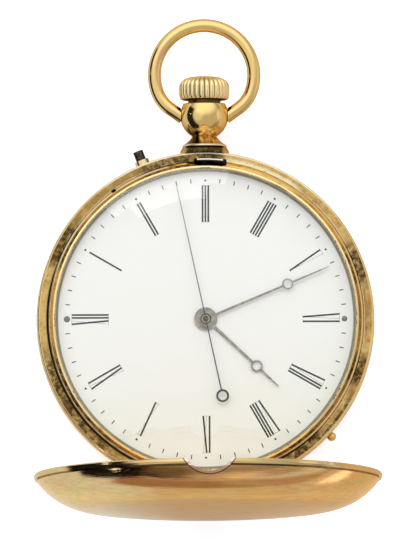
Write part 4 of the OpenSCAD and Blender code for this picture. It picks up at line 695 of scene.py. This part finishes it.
def vee(c):
    """The thick and the thin stroke of a V."""
    return [(c, c - 0.42, thick), (c + 0.02, c + 0.28, hairline)]


def cross(c):
    """The thick and the thin stroke of an X."""
    return [(c + 0.25, c - 0.25, thick), (c - 0.25, c + 0.25, hairline)]


numerals = {
    1: upright(0), 2: upright(-0.21) + upright(0.21),
    3: upright(-0.42) + upright(0) + upright(0.42),
    4: upright(-0.63) + upright(-0.21) + upright(0.21) + upright(0.63), 5: vee(0.05),
    6: vee(-0.29) + upright(0.38), 7: vee(-0.48) + upright(0.10) + upright(0.52),
    8: vee(-0.72) + upright(-0.08) + upright(0.34) + upright(0.76), 9: upright(-0.53) + cross(0.15),
    10: cross(0), 11: cross(-0.25) + upright(0.45),
    12: cross(-0.50) + upright(0.19) + upright(0.62)}
ends, widths = [], []
for hour, lines in numerals.items():
    for foot, top, width in lines:
        ends.append((on_dial(hour / 12, foot, numeral_foot), on_dial(hour / 12, top, numeral_top)))
        widths.append((width, width))
    for level, k in ((numeral_foot, 0), (numeral_top, 1)):
        edges = [line[k] for line in lines]
        ends.append((on_dial(hour / 12, min(edges) - serif, level),
                     on_dial(hour / 12, max(edges) + serif, level)))
        widths.append((hairline, hairline))
numeral_paint = strokes("dial_numerals", ends, widths)
minutes = [m / 60 for m in range(60) if m % 5]
minute_ends = [(on_dial(m, 0, 20.08), on_dial(m, 0, 20.74)) for m in minutes]
minute_paint = strokes("dial_minutes", minute_ends, [(0.155, 0.155)] * len(minutes))


def discs(name, centres, radii, height, rings=5, around=24):
    """One mesh of round spots, each a low dome: height times one minus the fourth power of the
    share of the radius, on rings of points about its centre."""
    share = np.linspace(1, 0, rings)
    a = np.arange(around) * 2 * np.pi / around
    x, y = share[:, None] * np.cos(a), share[:, None] * np.sin(a)
    dome = np.repeat((height * (1 - share ** 4) - 0.01)[:, None], around, 1)
    points, faces = [], []
    for k, (centre, r) in enumerate(zip(centres, radii)):
        px, py = centre[0] + x * r, centre[1] + y * r
        points.append(np.stack([px, py, glaze(np.hypot(px, py)) + dome], 2).reshape(-1, 3))
        faces.append(grid_faces(rings, around) + k * rings * around)
    return sealed(surface(name, np.concatenate(points), np.concatenate(faces)))


mark_ring = 20.42
dots = [on_dial(hour / 12, 0, mark_ring) for hour in range(12) if hour not in (0, 6)]
dot_paint = discs("dial_dots", dots, [0.18] * len(dots), 0.03)
ink, tree, shader = principled("fired_black", 0.0, 0.35, Specular_IOR_Level=0.2)
faded = times(fade(noise(tree, 0.5, 4.0), 0.60, 0.75), 0.5)
fill(shader, Base_Color=blend(faded, (0.006, 0.009, 0.007), (0.10, 0.11, 0.10)))
relief(shader, noise(tree, 0.15, 2.0), 0.003)
for made in (numeral_paint, minute_paint, dot_paint):
    made.data.materials.append(ink)
    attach(made, "case")


# Dial screws. Two small dull steel heads in place of the dots at XII and VI. They hold the dial
# down on the movement.
def mottled(name, rough, low, high, patches, grain, depth, contrast=None):
    """Metal that wanders between two colours in patches, by noise or by a smooth step of it, with
    a fine grain as its bump. patches and grain are what noise is told."""
    m, tree, shader = principled(name, 1.0, rough)
    share = noise(tree, *patches)
    if contrast:
        share = fade(share, *contrast)
    fill(shader, Base_Color=blend(share, low, high))
    relief(shader, noise(tree, *grain), depth)
    return m


screw_heads = discs("dial_screws", [on_dial(0, 0, mark_ring), on_dial(0.5, 0, mark_ring)],
                    [0.48, 0.43], 0.12)
screw_heads.data.materials.append(mottled(
    "dial_screw_steel", 0.42, (0.10, 0.11, 0.09), (0.22, 0.23, 0.19), patches=(0.3, 3.0),
    grain=(0.12, 2.0, (1, 3, 1)), depth=0.01))
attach(screw_heads, "case")

# Hands. Slim steel, once blued and now a dull olive grey, with a darker seconds hand. Each is
# pressed on its own pipe in the middle of the dial.
dress(mottled("hand_steel", 0.34, (0.20, 0.19, 0.155), (0.36, 0.34, 0.29), patches=(0.8, 4.0),
              grain=(0.08, 2.0), depth=0.002, contrast=(0.35, 0.7)), "hour_hand", "minute_hand")
dress(mottled("seconds_steel", 0.30, (0.03, 0.03, 0.03), (0.09, 0.085, 0.075), patches=(0.6, 4.0),
              grain=(0.08, 2.0), depth=0.002, contrast=(0.4, 0.7)),
      "seconds_hand", "seconds_pinion", "cannon_pinion")

# Push piece. A blackened steel plunger in the band, to the left of the pendant. Held down with a
# fingernail, it lets the crown set the hands.
dress(mottled("blackened_steel", 0.40, (0.03, 0.027, 0.024), (0.12, 0.10, 0.085),
              patches=(0.5, 4.0), grain=(0.10, 3.0), depth=0.006, contrast=(0.35, 0.7)), "set_pin")

# Plates, bridges and cocks. Nickelled brass with straight stripes ground across it, each of them
# a shallow arch.
nickel, tree, shader = principled("striped_nickel", 1.0)
spot = spot_of(tree)
stripe = maths("FRACT", total(times(spot.x, 0.37), times(spot.y, 0.37)))
arch = times(stripe, minus(1.0, stripe), 4.0)
grain = noise(tree, 0.05, 2.0)
fill(shader, Base_Color=blend(arch, (0.62, 0.60, 0.54), (0.80, 0.79, 0.74)),
     Roughness=total(0.20, times(grain, 0.18)))
relief(shader, total(arch, times(grain, 0.2)), 0.02)
dress(nickel, "main_plate", "barrel_bridge", "train_bridge", "seconds_cock", "pallet_cock",
      "balance_cock")

# Wheels and barrel. Gilt and plain brass with a fine dull grain. The wheels are cut from flat
# stock, and the barrel and its lid are turned.
dress(mottled("gilt_wheel", 0.28, (0.72, 0.50, 0.20), (0.86, 0.64, 0.30), patches=(1.2, 3.0),
              grain=(0.06, 2.0), depth=0.004),
      "centre_wheel", "minute_wheel", "hour_wheel", "third_wheel", "fourth_wheel", "balance_wheel")
dress(mottled("barrel_brass", 0.26, (0.74, 0.58, 0.30), (0.82, 0.68, 0.40), patches=(2.0, 3.0),
              grain=(0.08, 2.0), depth=0.004), "barrel_drum", "barrel_lid")

# Steelwork. Winding wheels, arbors, levers and springs, hardened and polished, with a fine
# straight grain along them.
steel, tree, shader = principled("polished_steel", 1.0)
fine = noise(tree, 0.05, 2.0, (8, 1, 1))
fill(shader, Base_Color=blend(noise(tree, 2.0, 3.0), (0.56, 0.56, 0.57), (0.70, 0.70, 0.70)),
     Roughness=total(0.12, times(fine, 0.2)))
relief(shader, fine, 0.002)
dress(steel, "regulator", "fly_spring", "click_spring", "winding_pinion", "clutch_wheel",
      "crown_wheel", "ratchet_wheel", "click", "barrel_arbor", "escape_wheel", "pallet_fork",
      "balance_staff", "setting_lever")

# Lock spring and winding stem. Steel, black with old oil. The spring's end catches the lid, and
# its tip has a painted highlight, white along the edge that the lid's lip rides over.
catch_steel, tree, shader = principled("oiled_spring", 1.0, 0.30)
spot = spot_of(tree)
# Painted highlight: the spring's tip is painted white along its edge.
edge_highlight = times(fade(spot.radius, 23.47, 23.53), fade(spot.z, seat - 0.5, seat - 0.3),
               fade(spot.y, 20.0, 21.0))
oil = blend(noise(tree, 0.6, 3.0), (0.012, 0.010, 0.008), (0.05, 0.045, 0.04))
fill(shader, Base_Color=blend(edge_highlight, oil, (0.98, 0.93, 0.84)))
relief(shader, noise(tree, 0.08, 2.0), 0.002)
dress(catch_steel, "lock_spring", "winding_stem")

# Mainspring. A long ribbon of spring steel, greyish blue from its tempering, wound on its arbor
# inside the barrel.
dress(mottled("spring_steel", 0.3, (0.30, 0.33, 0.40), (0.45, 0.46, 0.50), patches=(1.5, 3.0),
              grain=(0.06, 2.0), depth=0.002), "mainspring")

# Screws and hairspring. Steel heated to a deep blue. The screws hold the bridges on the plate and
# the movement in the case.
dress(mottled("blued_steel", 0.18, (0.02, 0.035, 0.16), (0.06, 0.05, 0.22), patches=(1.0, 3.0),
              grain=(0.05, 2.0), depth=0.001), "bridge_screws", "case_screws", "hairspring")

# Jewels. Deep red ruby with a glossy face, pierced for the pivots and pressed into the plate and
# the bridges.
ruby, tree, shader = principled("ruby", 0.0, 0.05, Coat_Weight=0.5)
fill(shader, Base_Color=blend(noise(tree, 0.4, 2.0), (0.45, 0.01, 0.05), (0.70, 0.04, 0.12)))
dress(ruby, "jewels")
